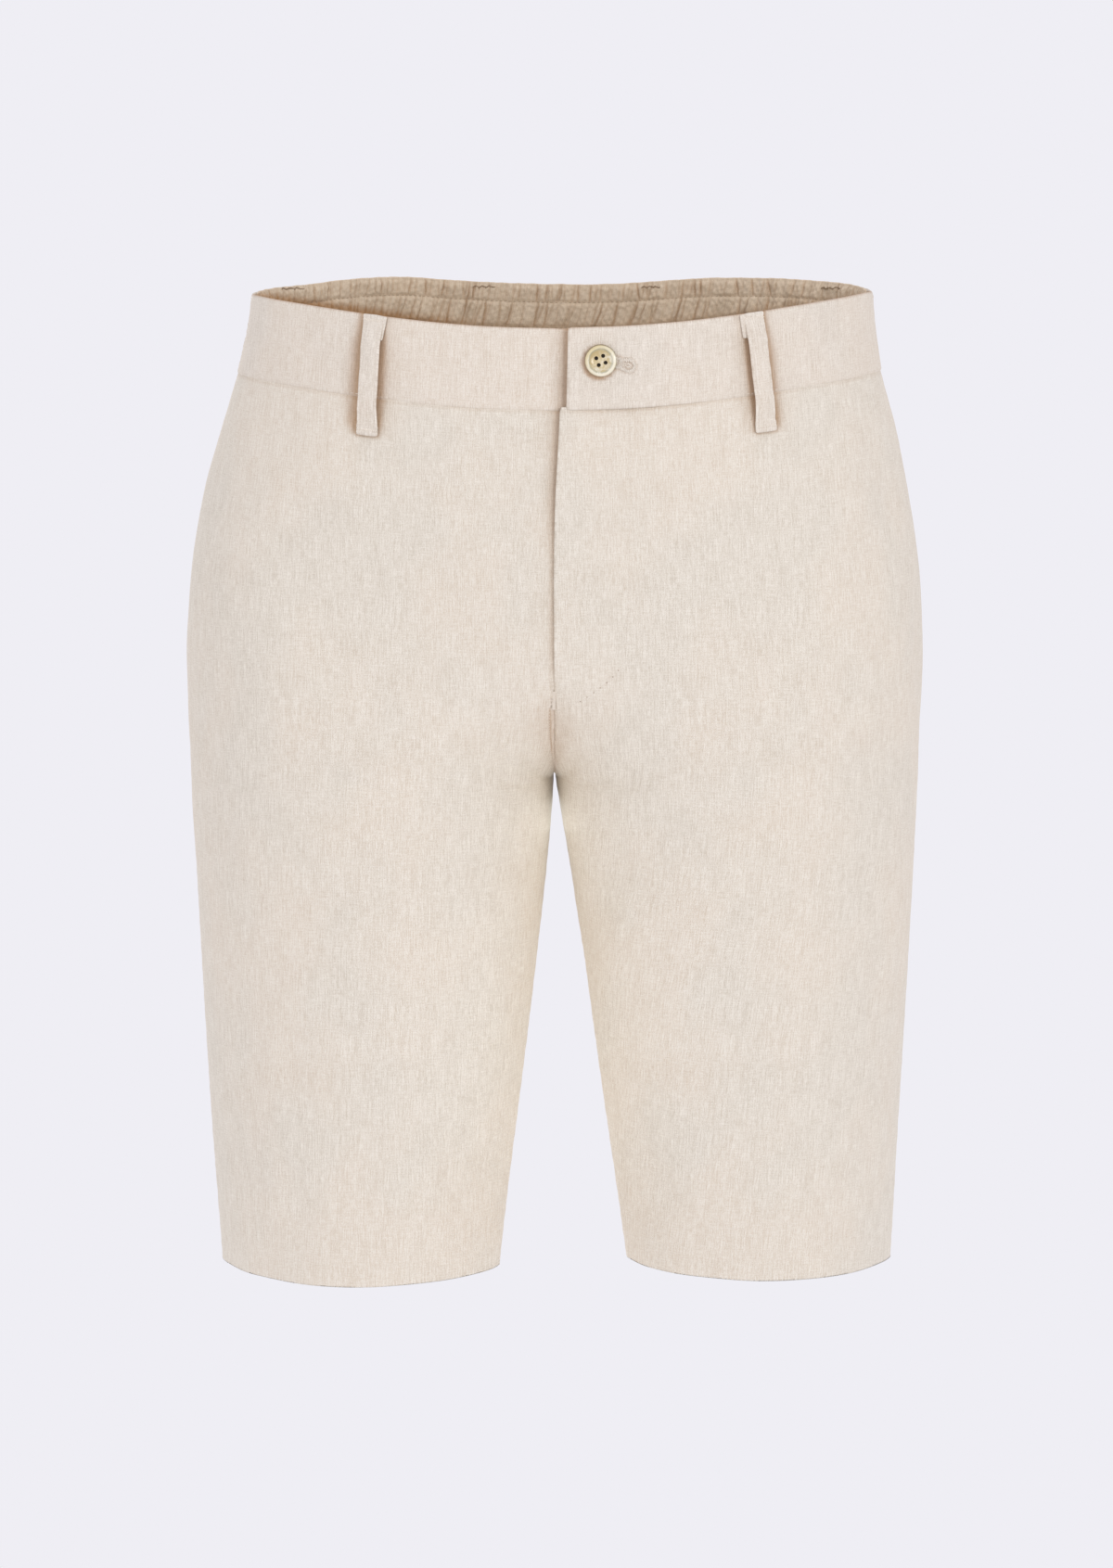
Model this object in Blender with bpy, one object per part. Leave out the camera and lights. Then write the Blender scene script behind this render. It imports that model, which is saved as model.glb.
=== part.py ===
"""Bermuda shorts in their worn shape, open at the waist and both hems.

The front faces -Y and +Z is up. The origin is the middle of the waist, level with the top of the waistband at the
side seams. "Right" is +X. Every cloth piece is a closed wall: an outer skin, and an inner skin set in along the
surface's normals. Sizes and tables are in millimetres, and MM turns them into metres.
"""

import math

import bmesh
import bpy
import numpy as np
from mathutils import Matrix, Vector

MM = 0.001
LEFT, RIGHT = -1, 1
FRONT, BACK = -1, 1

# Walls and gaps
PANEL_WALL = 1.6  # cloth with its turned seam allowances
BAND_WALL = 2.4  # cloth folded over interlining
FACING_WALL = 1.1
LOOP_WALL = 1.6
PIECE_GAP = 0.3
SEAM_SHARE = 0.0006  # half of the gap at a seam, as a share of a quarter's girth

# Heights, at the side seams
BAND_TOP_Z = 0.0
BAND_SEAM_Z = -40.6
CROTCH_Z = -248.0
HEM_Z = -502.0

# One row for each level section: how far the side seams stand out, and how deep the front and back are
SECTION_COLUMNS = ("height", "left", "right", "front", "back", "power")
SECTIONS = (
    (10.0, 155.7, 161.2, 111.5, 102.5, 2.10),
    (-10.0, 156.8, 161.9, 113.0, 105.5, 2.10),
    (-41.0, 163.5, 166.7, 116.5, 112.0, 2.15),
    (-70.0, 172.0, 174.2, 118.5, 117.5, 2.25),
    (-100.0, 180.1, 180.2, 119.0, 122.5, 2.45),
    (-140.0, 187.4, 186.2, 117.5, 127.4, 2.75),
    (-165.0, 189.3, 187.8, 116.3, 129.6, 2.95),
    (-185.0, 190.1, 188.4, 116.2, 131.0, 3.00),
    (-203.0, 189.8, 188.0, 115.9, 129.4, 3.00),
    (-225.0, 189.2, 187.2, 112.8, 125.0, 2.90),
    (-260.0, 188.0, 186.2, 108.5, 116.0, 2.50),
    (-300.0, 186.1, 184.5, 104.0, 108.0, 2.50),
    (-360.0, 183.2, 181.6, 97.5, 100.5, 2.50),
    (-430.0, 179.4, 178.0, 90.5, 93.0, 2.50),
    (-502.0, 174.4, 174.4, 85.0, 87.5, 2.50),
)

# How far each inseam stands from the middle, below the crotch
INSEAM_COLUMNS = ("height", "left", "right")
INSEAMS = (
    (-235.0, 1.3, -0.7),
    (-248.0, 1.4, -0.6),
    (-262.0, 2.1, 1.4),
    (-300.0, 5.4, 7.8),
    (-340.0, 9.8, 13.8),
    (-380.0, 14.4, 19.2),
    (-420.0, 19.3, 24.7),
    (-460.0, 24.3, 30.5),
    (-502.0, 29.1, 36.3),
)

# Where the centre seams run: the front one leans to the lap at the top
CENTRE_COLUMNS = ("height", "front", "back")
CENTRES = (
    (10.0, 3.4, 2.4),
    (-56.0, 1.9, 2.0),
    (-108.0, -0.6, 1.0),
    (-170.0, -1.3, 0.0),
    (-248.0, -1.0, -1.0),
)

# How the waistband's edges dip at the front and rise at the back, from the side seam to the centre
EDGE_COLUMNS = ("share", "front", "back_left", "back_right")
EDGE_RISES = (
    (1.00, 0.0, 0.3, 0.3),
    (0.85, -0.9, 2.5, 2.8),
    (0.70, -3.4, 4.1, 4.7),
    (0.58, -6.1, 6.5, 5.9),
    (0.42, -10.2, 7.9, 6.4),
    (0.28, -13.4, 5.9, 5.2),
    (0.15, -15.5, 4.4, 3.5),
    (0.00, -16.4, 3.2, 3.2),
)

# How the hem differs from level, from the inseam to the side seam
HEM_COLUMNS = ("share", "left", "right")
HEM_RISES = (
    (1.0, -0.2, 0.6),
    (0.5, 0.0, 3.2),
    (0.0, -3.6, 0.4),
)
HEM_FADE = 60.0  # the rows above the hem level out over this height

LEG_POWER = {"fork": 0.48, "hem": 0.68}  # 0.5 is an ellipse, and more is a leg pressed flatter at its seams
FORK_RISE = {FRONT: 72.0, BACK: 92.0}  # how high the hollow between the legs reaches
FORK_POWER = 1.5
BODY_RISE = 165.0  # over this height two leg tubes side by side round into one body
DIP_FADE_Z = -160.0  # below this the rows are level
SIDE_TILT = 0.8  # the right side stands this much higher, and the left side lower

# Waistband
BAND_PROUD = 0.6  # the band stands out from the legs' cloth
LAP_END_X = 6.4
UNDERLAP_END_X = 34.0
BAND_LAP_LIFT = BAND_WALL + PIECE_GAP
BAND_LAP_FLAT = 33.0  # length of the lap that lies at full lift
BAND_LAP_FADE = 50.0
FACING_DROP = 1.2  # the facing ends below the band's top edge
GATHERS = 38
GATHER_DEPTH = 0.8
GATHER_STEPS = 4  # columns for each gather
GATHER_FADE = 0.03  # share of the back that flattens out at each side seam
GATHER_SAMPLES = 4000
WAVE_COLUMNS = ("size", "waves", "start")
GATHER_DRIFT = ((0.42, 2.3, 0.8), (0.26, 5.9, 2.1))  # how the gathers' spacing varies, in gathers
GATHER_SWELL = ((0.22, 4.3, 1.1),)  # how their depth varies
UNDER_COLUMNS, OVER_COLUMNS = 20, 20
BAND_ROWS = 2

# Fly
FLY_LIFT = 1.5
FLY_WIDTH = 42.0
FLY_BOTTOM_Z = -198.0
FLY_RUN_OUT = 22.0

# Belt loops: which quarter each is on, where its top and bottom lie across, and how far it clears the cloth
LOOP_COLUMNS = ("side", "half", "top_x", "bottom_x", "seat")
LOOPS = (
    (LEFT, FRONT, -90.6, -93.8, 0.3),
    (RIGHT, FRONT, 97.7, 103.6, 0.3),
    (LEFT, BACK, -142.0, -149.0, 1.2),
    (RIGHT, BACK, 146.5, 151.5, 1.2),
    (LEFT, BACK, -38.7, -39.5, 1.2),
    (RIGHT, BACK, 50.8, 51.8, 1.2),
)
LOOP_WIDTH = 11.2
LOOP_TAIL = 17.3  # how far a loop reaches below the waistband seam
LOOP_BOW = 2.3
LOOP_BEND = 0.28  # share of the length that bends away from each tack
LOOP_ROWS, LOOP_STRIPS = 10, 3

# Button
BUTTON_X, BUTTON_Z = 22.1, -32.0
BUTTON_RADIUS = 8.0
BUTTON_DEPTH = 3.0
BUTTON_PROFILE = (  # share of the radius, share of the depth
    (0.0, 0.0),
    (0.80, 0.0),
    (0.95, 0.20),
    (1.00, 0.48),
    (0.98, 0.74),
    (0.90, 0.94),
    (0.82, 1.00),
    (0.74, 0.93),
    (0.66, 0.72),
    (0.50, 0.60),
    (0.0, 0.56),
)
BUTTON_SIDES = 32
HOLE_COUNT = 4
HOLE_SIDES = 12
HOLE_RADIUS = 0.9
HOLE_RING = 2.5
HOLE_TURN = math.radians(19.5)

PANEL_COLUMNS = 19
WAIST_ROWS, FORK_ROWS, LEG_ROWS = 6, 8, 8
LEG_ROW_SPREAD = 1.15  # above 1, the rows crowd to the crotch
SECTION_STEPS = 180
SEARCH_STEPS = 120
NORMAL_STEP = 1.5
QUARTER_GIRTH = 250.0  # about, to turn the normals' step into a share
MERGE_DISTANCE = 1e-6
CLOTH_EDGE_ANGLE = math.radians(35)
BUTTON_EDGE_ANGLE = math.radians(40)
WAIST_AXES_SIZE = 0.05

CLOTH_COLOUR = (0.760, 0.690, 0.605)
BAND_COLOUR = (0.775, 0.697, 0.607)
FACING_COLOUR = (0.640, 0.550, 0.440)
BUTTON_COLOUR = (0.640, 0.560, 0.370)
CLOTH_ROUGHNESS = 0.85
FACING_ROUGHNESS = 0.9
BUTTON_ROUGHNESS = 0.3


# Reading the tables

def slopes(knots, values):
    """The slope at each row of a table, so that a smooth curve runs through it without overshooting."""
    steps = np.diff(values) / np.diff(knots)
    inner = np.where(steps[1:] * steps[:-1] > 0, 0.5 * (steps[1:] + steps[:-1]), 0.0)
    return np.concatenate([steps[:1], inner, steps[-1:]])


def read_table(table, columns, name, height):
    """One column of a table at any height, on a smooth curve through its rows."""
    rows = np.array(table)[::-1]
    knots = rows[:, 0]
    values = rows[:, columns.index(name)]
    slope = slopes(knots, values)
    height = np.clip(height, knots[0], knots[-1])
    row = np.clip(np.searchsorted(knots, height) - 1, 0, len(knots) - 2)
    span = knots[row + 1] - knots[row]
    t = (height - knots[row]) / span
    rise = values[row + 1] - values[row]
    bend_in = slope[row] * span - rise
    bend_out = rise - slope[row + 1] * span
    return values[row] + t * rise + t * (1 - t) * ((1 - t) * bend_in + t * bend_out)


def ease(t):
    """A smooth step from 0 to 1."""
    t = np.clip(t, 0.0, 1.0)
    return t * t * (3 - 2 * t)


# The surface that all the cloth follows

def side_name(side):
    return "left" if side == LEFT else "right"


def half_name(half):
    return "front" if half == FRONT else "back"


def quarter_outline(side, half, height):
    """One quarter of the level section: x and y from the centre seam or inseam to the side seam."""
    outer = side * read_table(SECTIONS, SECTION_COLUMNS, side_name(side), height)
    depth = half * read_table(SECTIONS, SECTION_COLUMNS, half_name(half), height)
    power = read_table(SECTIONS, SECTION_COLUMNS, "power", height)
    inner = side * read_table(INSEAMS, INSEAM_COLUMNS, side_name(side), min(height, CROTCH_Z))
    centre = read_table(CENTRES, CENTRE_COLUMNS, half_name(half), height)
    climb = np.clip((height - CROTCH_Z) / FORK_RISE[half], 0.0, 1.0)
    hollow = 1 - climb**FORK_POWER
    t = np.linspace(0.0, 1.0, SECTION_STEPS + 1)
    across = np.abs(np.cos(np.pi * t)) * np.where(t < 0.5, hollow, 1.0)
    leg_x = inner + (outer - inner) * (1 - np.cos(np.pi * t)) / 2
    up_leg = ease((height - HEM_Z) / (CROTCH_Z - HEM_Z))
    leg_power = LEG_POWER["hem"] + (LEG_POWER["fork"] - LEG_POWER["hem"]) * up_leg
    leg_y = (1 - across**2).clip(0) ** leg_power
    body_x = centre + (outer - centre) * np.sin(np.pi * t / 2) ** (2 / power)
    body_y = np.cos(np.pi * t / 2).clip(0) ** (2 / power)
    body = ease((height - CROTCH_Z) / BODY_RISE)
    x = body * body_x + (1 - body) * leg_x
    y = body * body_y + (1 - body) * leg_y
    return x, depth * y


def girth_run(x, y):
    return np.concatenate([[0.0], np.cumsum(np.hypot(np.diff(x), np.diff(y)))])


def row_height(side, half, share, row):
    """The height of a point on a row: level rows but for the waist, which dips to the front, and the hem."""
    near_waist = ease((row - DIP_FADE_Z) / (BAND_SEAM_Z - DIP_FADE_Z))
    edge = "front" if half == FRONT else f"back_{side_name(side)}"
    rise = read_table(EDGE_RISES, EDGE_COLUMNS, edge, share)
    tilt = SIDE_TILT * side * np.sin(np.pi * share / 2)
    near_hem = ease((HEM_Z + HEM_FADE - row) / HEM_FADE)
    uneven = read_table(HEM_RISES, HEM_COLUMNS, side_name(side), share)
    return row + near_waist * (rise + tilt) + near_hem * uneven


def skin_point(side, half, share, row):
    """A point on the skin: share runs from the centre seam or inseam (0) to the side seam (1)."""
    height = row_height(side, half, share, row)
    x, y = quarter_outline(side, half, height)
    run = girth_run(x, y)
    at = share * run[-1]
    return np.array([np.interp(at, run, x), np.interp(at, run, y), height])


def skin_normal(side, half, share, row):
    """The outward normal there, from short steps around and down."""
    step = NORMAL_STEP / QUARTER_GIRTH
    low, high = max(share - step, 0.0), min(share + step, 1.0)
    around = skin_point(side, half, high, row) - skin_point(side, half, low, row)
    down = skin_point(side, half, share, row - NORMAL_STEP) - skin_point(side, half, share, row + NORMAL_STEP)
    normal = np.cross(around, down) * side * half
    return normal / np.linalg.norm(normal)


def share_at_x(side, half, row, x_wanted):
    """The share around at which a quarter of the waist reaches x."""
    shares = np.linspace(0.0, 1.0, SEARCH_STEPS + 1)
    reached = [side * skin_point(side, half, share, row)[0] for share in shares]
    return float(np.interp(side * x_wanted, reached, shares))


def front_share(signed):
    """Across the front, a signed share runs from the left side seam (-1) to the right one (1)."""
    return (RIGHT if signed >= 0 else LEFT), abs(signed)


# Making objects

def material(name, colour, roughness):
    made = bpy.data.materials.new(name)
    made.use_nodes = True
    shader = made.node_tree.nodes["Principled BSDF"]
    shader.inputs["Base Color"].default_value = (*colour, 1.0)
    shader.inputs["Roughness"].default_value = roughness
    shader.inputs["Metallic"].default_value = 0.0
    made.diffuse_color = (*colour, 1.0)
    return made


def add_object(name, mesh, finish, waist):
    mesh.materials.append(finish)
    made = bpy.data.objects.new(name, mesh)
    bpy.context.scene.collection.objects.link(made)
    made.parent = waist
    return made


def wall_object(name, outer, inner, finish, waist):
    """A closed wall from two skins, each a grid of points with rows down and columns across."""
    rows, columns = outer.shape[:2]
    built = bmesh.new()
    skins = []
    for skin in (outer, inner):
        grid = [[built.verts.new(Vector(point) * MM) for point in row] for row in skin]
        skins.append(grid)
        for i in range(rows - 1):
            for j in range(columns - 1):
                built.faces.new((grid[i][j], grid[i + 1][j], grid[i + 1][j + 1], grid[i][j + 1]))
    rim = [(0, j) for j in range(columns)]
    rim += [(i, columns - 1) for i in range(1, rows)]
    rim += [(rows - 1, j) for j in range(columns - 2, -1, -1)]
    rim += [(i, 0) for i in range(rows - 2, 0, -1)]
    for (i, j), (k, m) in zip(rim, rim[1:] + rim[:1]):
        built.faces.new((skins[0][i][j], skins[0][k][m], skins[1][k][m], skins[1][i][j]))
    bmesh.ops.recalc_face_normals(built, faces=built.faces)
    mesh = bpy.data.meshes.new(name)
    built.to_mesh(mesh)
    built.free()
    mesh.shade_smooth()
    mesh.set_sharp_from_angle(angle=CLOTH_EDGE_ANGLE)
    return add_object(name, mesh, finish, waist)


# The legs

def panel_rows():
    """Row heights from the waistband seam to the hem, closest together where the legs fork."""
    rise = FORK_RISE[FRONT]
    above = np.linspace(BAND_SEAM_Z - PIECE_GAP / 2, CROTCH_Z + rise, WAIST_ROWS + 1)
    turn = np.linspace(np.pi / 2, 0.0, FORK_ROWS + 1)[1:]
    fork = CROTCH_Z + rise * (1 - np.cos(turn))
    below = CROTCH_Z + (HEM_Z - CROTCH_Z) * np.linspace(0.0, 1.0, LEG_ROWS + 1)[1:] ** LEG_ROW_SPREAD
    return np.concatenate([above, fork, below])


def fly_lift(side, half, distance, row):
    """The lapping front stands out along the fly, and runs back into the leg."""
    if (side, half) != (RIGHT, FRONT):
        return 0.0
    across = 1 - ease(distance / FLY_WIDTH)
    down = ease((row - FLY_BOTTOM_Z) / FLY_RUN_OUT)
    return FLY_LIFT * across * down


def leg_panel(name, side, half, finish, waist):
    shares = np.linspace(SEAM_SHARE, 1 - SEAM_SHARE, PANEL_COLUMNS + 1)
    outer, inner = [], []
    for row in panel_rows():
        outer.append([])
        inner.append([])
        for share in shares:
            point = skin_point(side, half, share, row)
            normal = skin_normal(side, half, share, row)
            centre = skin_point(side, half, 0.0, row)
            lift = fly_lift(side, half, abs(point[0] - centre[0]), row)
            outer[-1].append(point + lift * normal)
            inner[-1].append(point + (lift - PANEL_WALL) * normal)
    return wall_object(name, np.array(outer), np.array(inner), finish, waist)


# The waistband

def band_rows(top_drop=0.0):
    return np.linspace(BAND_TOP_Z - top_drop, BAND_SEAM_Z + PIECE_GAP / 2, BAND_ROWS + 1)


def front_band(name, signed_shares, lift_at, finish, waist):
    """A front waistband piece between two signed shares."""
    outer, inner = [], []
    for row in band_rows():
        outer.append([])
        inner.append([])
        for signed in signed_shares:
            side, share = front_share(signed)
            point = skin_point(side, FRONT, share, row)
            normal = skin_normal(side, FRONT, max(share, SEAM_SHARE), row)
            proud = BAND_PROUD + lift_at(point[0])
            outer[-1].append(point + proud * normal)
            inner[-1].append(point + (proud - BAND_WALL) * normal)
    return wall_object(name, np.array(outer), np.array(inner), finish, waist)


def band_lap_lift(x):
    return BAND_LAP_LIFT * (1 - ease((x - LAP_END_X - BAND_LAP_FLAT) / BAND_LAP_FADE))


def front_bands(finish, waist):
    middle = BAND_SEAM_Z / 2
    lap_start = share_at_x(RIGHT, FRONT, middle, LAP_END_X)
    underlap_end = share_at_x(RIGHT, FRONT, middle, UNDERLAP_END_X)
    under = np.linspace(-1 + SEAM_SHARE, underlap_end, UNDER_COLUMNS + 1)
    over = np.linspace(lap_start, 1 - SEAM_SHARE, OVER_COLUMNS + 1)
    front_band("waistband_front_left", under, lambda x: 0.0, finish, waist)
    front_band("waistband_front_right", over, band_lap_lift, finish, waist)


def waves(table, u):
    total = 0.0
    for row in table:
        wave = dict(zip(WAVE_COLUMNS, row))
        total = total + wave["size"] * np.sin(2 * np.pi * wave["waves"] * u + wave["start"])
    return total


def gather_phase(u):
    """Gathers across the back, unevenly spaced: u runs from the left side seam (0) to the right one (1)."""
    return 2 * np.pi * (GATHERS * u + waves(GATHER_DRIFT, u))


def gather_columns():
    """Columns at the crest, trough and slopes of every gather."""
    fine = np.linspace(0.0, 1.0, GATHER_SAMPLES + 1)
    phase = gather_phase(fine)
    phase = phase - phase[0]
    wanted = np.linspace(0.0, phase[-1], GATHERS * GATHER_STEPS + 1)
    return np.interp(wanted, phase, fine)


def gather_height(u):
    """How far the gathered cloth stands out, flat at both side seams and uneven in between."""
    fade = ease(u / GATHER_FADE) * ease((1 - u) / GATHER_FADE)
    swell = 1 - GATHER_SWELL[0][0] + waves(GATHER_SWELL, u)
    return GATHER_DEPTH * fade * swell * np.sin(gather_phase(u) - gather_phase(0.0))


def back_band(name, top_drop, set_in, wall, finish, waist):
    """A gathered piece round the back, set_in from the band's outside."""
    outer, inner = [], []
    ends = (1 - SEAM_SHARE) * (2 * gather_columns() - 1)
    for row in band_rows(top_drop):
        outer.append([])
        inner.append([])
        for signed in ends:
            side, share = front_share(signed)
            point = skin_point(side, BACK, share, row)
            normal = skin_normal(side, BACK, max(share, SEAM_SHARE), row)
            proud = BAND_PROUD - set_in + gather_height((signed + 1) / 2)
            outer[-1].append(point + proud * normal)
            inner[-1].append(point + (proud - wall) * normal)
    return wall_object(name, np.array(outer), np.array(inner), finish, waist)


# Belt loops

def loop_bow(t):
    """How far the middle of a loop stands off, t running down its length."""
    return LOOP_BOW * ease(t / LOOP_BEND) * ease((1 - t) / LOOP_BEND)


def belt_loop(name, finish, waist, side, half, top_x, bottom_x, seat):
    """A strip tacked at the band's top edge and below its seam, clear of the cloth between."""
    top_share = share_at_x(side, half, BAND_TOP_Z, top_x)
    bottom_share = share_at_x(side, half, BAND_SEAM_Z - LOOP_TAIL, bottom_x)
    outer, inner = [], []
    for t in np.linspace(0.0, 1.0, LOOP_ROWS + 1):
        row = BAND_TOP_Z + t * (BAND_SEAM_Z - LOOP_TAIL - BAND_TOP_Z)
        middle = top_share + t * (bottom_share - top_share)
        x, y = quarter_outline(side, half, row)
        half_width = LOOP_WIDTH / 2 / girth_run(x, y)[-1]
        step_down = ease((BAND_SEAM_Z - row) / LOOP_TAIL)
        off = seat + loop_bow(t) + BAND_PROUD * (1 - step_down)
        off -= (seat - PIECE_GAP) * step_down
        outer.append([])
        inner.append([])
        for share in np.linspace(middle - half_width, middle + half_width, LOOP_STRIPS + 1):
            point = skin_point(side, half, share, row)
            normal = skin_normal(side, half, share, row)
            outer[-1].append(point + (off + LOOP_WALL) * normal)
            inner[-1].append(point + off * normal)
    return wall_object(name, np.array(outer), np.array(inner), finish, waist)


# Button

def turned_mesh(name, profile, sides):
    """A solid of revolution about +Z from (radius, height) pairs that start and end on the axis."""
    built = bmesh.new()
    points = [built.verts.new((radius, 0.0, height)) for radius, height in profile]
    edges = [built.edges.new(pair) for pair in zip(points, points[1:])]
    bmesh.ops.spin(
        built, geom=points + edges, cent=(0, 0, 0), axis=(0, 0, 1), angle=2 * math.pi, steps=sides,
        use_merge=True,
    )
    bmesh.ops.remove_doubles(built, verts=built.verts, dist=MERGE_DISTANCE)
    bmesh.ops.recalc_face_normals(built, faces=built.faces)
    mesh = bpy.data.meshes.new(name)
    built.to_mesh(mesh)
    built.free()
    mesh.shade_smooth()
    mesh.set_sharp_from_angle(angle=BUTTON_EDGE_ANGLE)
    return mesh


def hole_cutter(waist):
    """Posts in one mesh, which cut the thread holes."""
    built = bmesh.new()
    for k in range(HOLE_COUNT):
        turn = HOLE_TURN + 2 * math.pi * (k + 0.5) / HOLE_COUNT
        place = Matrix.Translation((
            HOLE_RING * MM * math.cos(turn),
            HOLE_RING * MM * math.sin(turn),
            BUTTON_DEPTH * MM / 2,
        ))
        bmesh.ops.create_cone(
            built, cap_ends=True, segments=HOLE_SIDES, radius1=HOLE_RADIUS * MM, radius2=HOLE_RADIUS * MM,
            depth=3 * BUTTON_DEPTH * MM, matrix=place,
        )
    mesh = bpy.data.meshes.new("button_hole_cutter")
    built.to_mesh(mesh)
    built.free()
    cutter = bpy.data.objects.new("button_hole_cutter", mesh)
    bpy.context.scene.collection.objects.link(cutter)
    cutter.hide_render = True
    cutter.display_type = "WIRE"
    cutter.parent = waist
    return cutter


def button(finish, waist):
    """The button lies on the lap of the waistband, facing out."""
    row = BAND_SEAM_Z / 2
    share = share_at_x(RIGHT, FRONT, row, BUTTON_X)
    drop = row_height(RIGHT, FRONT, share, row) - row
    row = BUTTON_Z - drop
    normal = skin_normal(RIGHT, FRONT, share, row)
    seat = skin_point(RIGHT, FRONT, share, row)
    seat = seat + (BAND_PROUD + band_lap_lift(BUTTON_X) + PIECE_GAP) * normal
    profile = [(BUTTON_RADIUS * r * MM, BUTTON_DEPTH * d * MM) for r, d in BUTTON_PROFILE]
    made = add_object("button", turned_mesh("button", profile, BUTTON_SIDES), finish, waist)
    facing = Vector(normal).to_track_quat("Z", "Y").to_matrix().to_4x4()
    cutter = hole_cutter(waist)
    for piece in (made, cutter):
        piece.matrix_world = Matrix.Translation(Vector(seat) * MM) @ facing
    holes = made.modifiers.new("thread_holes", "BOOLEAN")
    holes.operation = "DIFFERENCE"
    holes.object = cutter
    return made


def main():
    for old in list(bpy.data.objects):
        bpy.data.objects.remove(old, do_unlink=True)
    waist = bpy.data.objects.new("waist", None)
    waist.empty_display_size = WAIST_AXES_SIZE
    bpy.context.scene.collection.objects.link(waist)
    cloth = material("linen_cloth", CLOTH_COLOUR, CLOTH_ROUGHNESS)
    band = material("waistband_cloth", BAND_COLOUR, CLOTH_ROUGHNESS)
    lining = material("facing_cloth", FACING_COLOUR, FACING_ROUGHNESS)
    horn = material("button_horn", BUTTON_COLOUR, BUTTON_ROUGHNESS)

    for half in (FRONT, BACK):
        for side in (LEFT, RIGHT):
            leg_panel(f"{half_name(half)}_{side_name(side)}", side, half, cloth, waist)
    front_bands(band, waist)
    back_band("waistband_back", 0.0, 0.0, BAND_WALL, band, waist)
    back_band("waistband_back_facing", FACING_DROP, BAND_WALL + PIECE_GAP, FACING_WALL, lining, waist)
    for number, loop in enumerate(LOOPS, start=1):
        belt_loop(f"belt_loop_{number}", band, waist, **dict(zip(LOOP_COLUMNS, loop)))
    button(horn, waist)


main()
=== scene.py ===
import math

import bpy
import numpy as np
from mathutils import Matrix, Vector
from mathutils.bvhtree import BVHTree


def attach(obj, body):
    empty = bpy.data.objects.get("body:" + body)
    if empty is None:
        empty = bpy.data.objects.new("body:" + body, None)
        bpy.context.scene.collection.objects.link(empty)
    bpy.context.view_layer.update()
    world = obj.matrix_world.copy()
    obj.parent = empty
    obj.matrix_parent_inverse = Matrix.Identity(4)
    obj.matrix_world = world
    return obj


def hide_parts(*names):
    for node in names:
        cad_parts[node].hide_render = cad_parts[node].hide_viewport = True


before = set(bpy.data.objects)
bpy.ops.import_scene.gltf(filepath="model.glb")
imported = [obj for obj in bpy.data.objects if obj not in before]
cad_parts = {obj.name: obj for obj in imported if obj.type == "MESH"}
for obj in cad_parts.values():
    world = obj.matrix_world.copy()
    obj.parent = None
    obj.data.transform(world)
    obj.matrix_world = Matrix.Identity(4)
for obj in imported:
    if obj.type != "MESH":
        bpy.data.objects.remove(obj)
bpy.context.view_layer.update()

mm = 0.001
left, right = -1, 1
front, back = -1, 1
bandTop, bandSeam = 0.0, -40.6
crotch, hem = -248.0, -502.0

# Level sections of the shorts, in millimetres: how far the side seams stand out, how deep front and back are
sectionColumns = ("height", "left", "right", "front", "back", "power")
sections = (
    (10.0, 155.7, 161.2, 111.5, 102.5, 2.10),
    (-10.0, 156.8, 161.9, 113.0, 105.5, 2.10),
    (-41.0, 163.5, 166.7, 116.5, 112.0, 2.15),
    (-70.0, 172.0, 174.2, 118.5, 117.5, 2.25),
    (-100.0, 180.1, 180.2, 119.0, 122.5, 2.45),
    (-140.0, 187.4, 186.2, 117.5, 127.4, 2.75),
    (-165.0, 189.3, 187.8, 116.3, 129.6, 2.95),
    (-185.0, 190.1, 188.4, 116.2, 131.0, 3.00),
    (-203.0, 189.8, 188.0, 115.9, 129.4, 3.00),
    (-225.0, 189.2, 187.2, 112.8, 125.0, 2.90),
    (-260.0, 188.0, 186.2, 108.5, 116.0, 2.50),
    (-300.0, 186.1, 184.5, 104.0, 108.0, 2.50),
    (-360.0, 183.2, 181.6, 97.5, 100.5, 2.50),
    (-430.0, 179.4, 178.0, 90.5, 93.0, 2.50),
    (-502.0, 174.4, 174.4, 85.0, 87.5, 2.50),
)
inseamColumns = ("height", "left", "right")
inseams = (
    (-235.0, 1.3, -0.7), (-248.0, 1.4, -0.6), (-262.0, 2.1, 1.4), (-300.0, 5.4, 7.8), (-340.0, 9.8, 13.8),
    (-380.0, 14.4, 19.2), (-420.0, 19.3, 24.7), (-460.0, 24.3, 30.5), (-502.0, 29.1, 36.3),
)
centreColumns = ("height", "front", "back")
centres = (
    (10.0, 3.4, 2.4), (-56.0, 1.9, 2.0), (-108.0, -0.6, 1.0), (-170.0, -1.3, 0.0), (-248.0, -1.0, -1.0),
)
# How the waist's edges dip at the front and rise at the back, from the side seam (1) to the centre (0)
edgeColumns = ("share", "front", "backLeft", "backRight")
edgeRises = (
    (1.00, 0.0, 0.3, 0.3), (0.85, -0.9, 2.5, 2.8), (0.70, -3.4, 4.1, 4.7), (0.58, -6.1, 6.5, 5.9),
    (0.42, -10.2, 7.9, 6.4), (0.28, -13.4, 5.9, 5.2), (0.15, -15.5, 4.4, 3.5), (0.00, -16.4, 3.2, 3.2),
)
hemColumns = ("share", "left", "right")
hemRises = ((1.0, -0.2, 0.6), (0.5, 0.0, 3.2), (0.0, -3.6, 0.4))
form = {
    "legPowerFork": 0.48, "legPowerHem": 0.68, "forkRiseFront": 72.0, "forkRiseBack": 92.0, "forkPower": 1.5,
    "bodyRise": 165.0, "dipFade": -160.0, "sideTilt": 0.8, "hemFade": 60.0,
}


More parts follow.
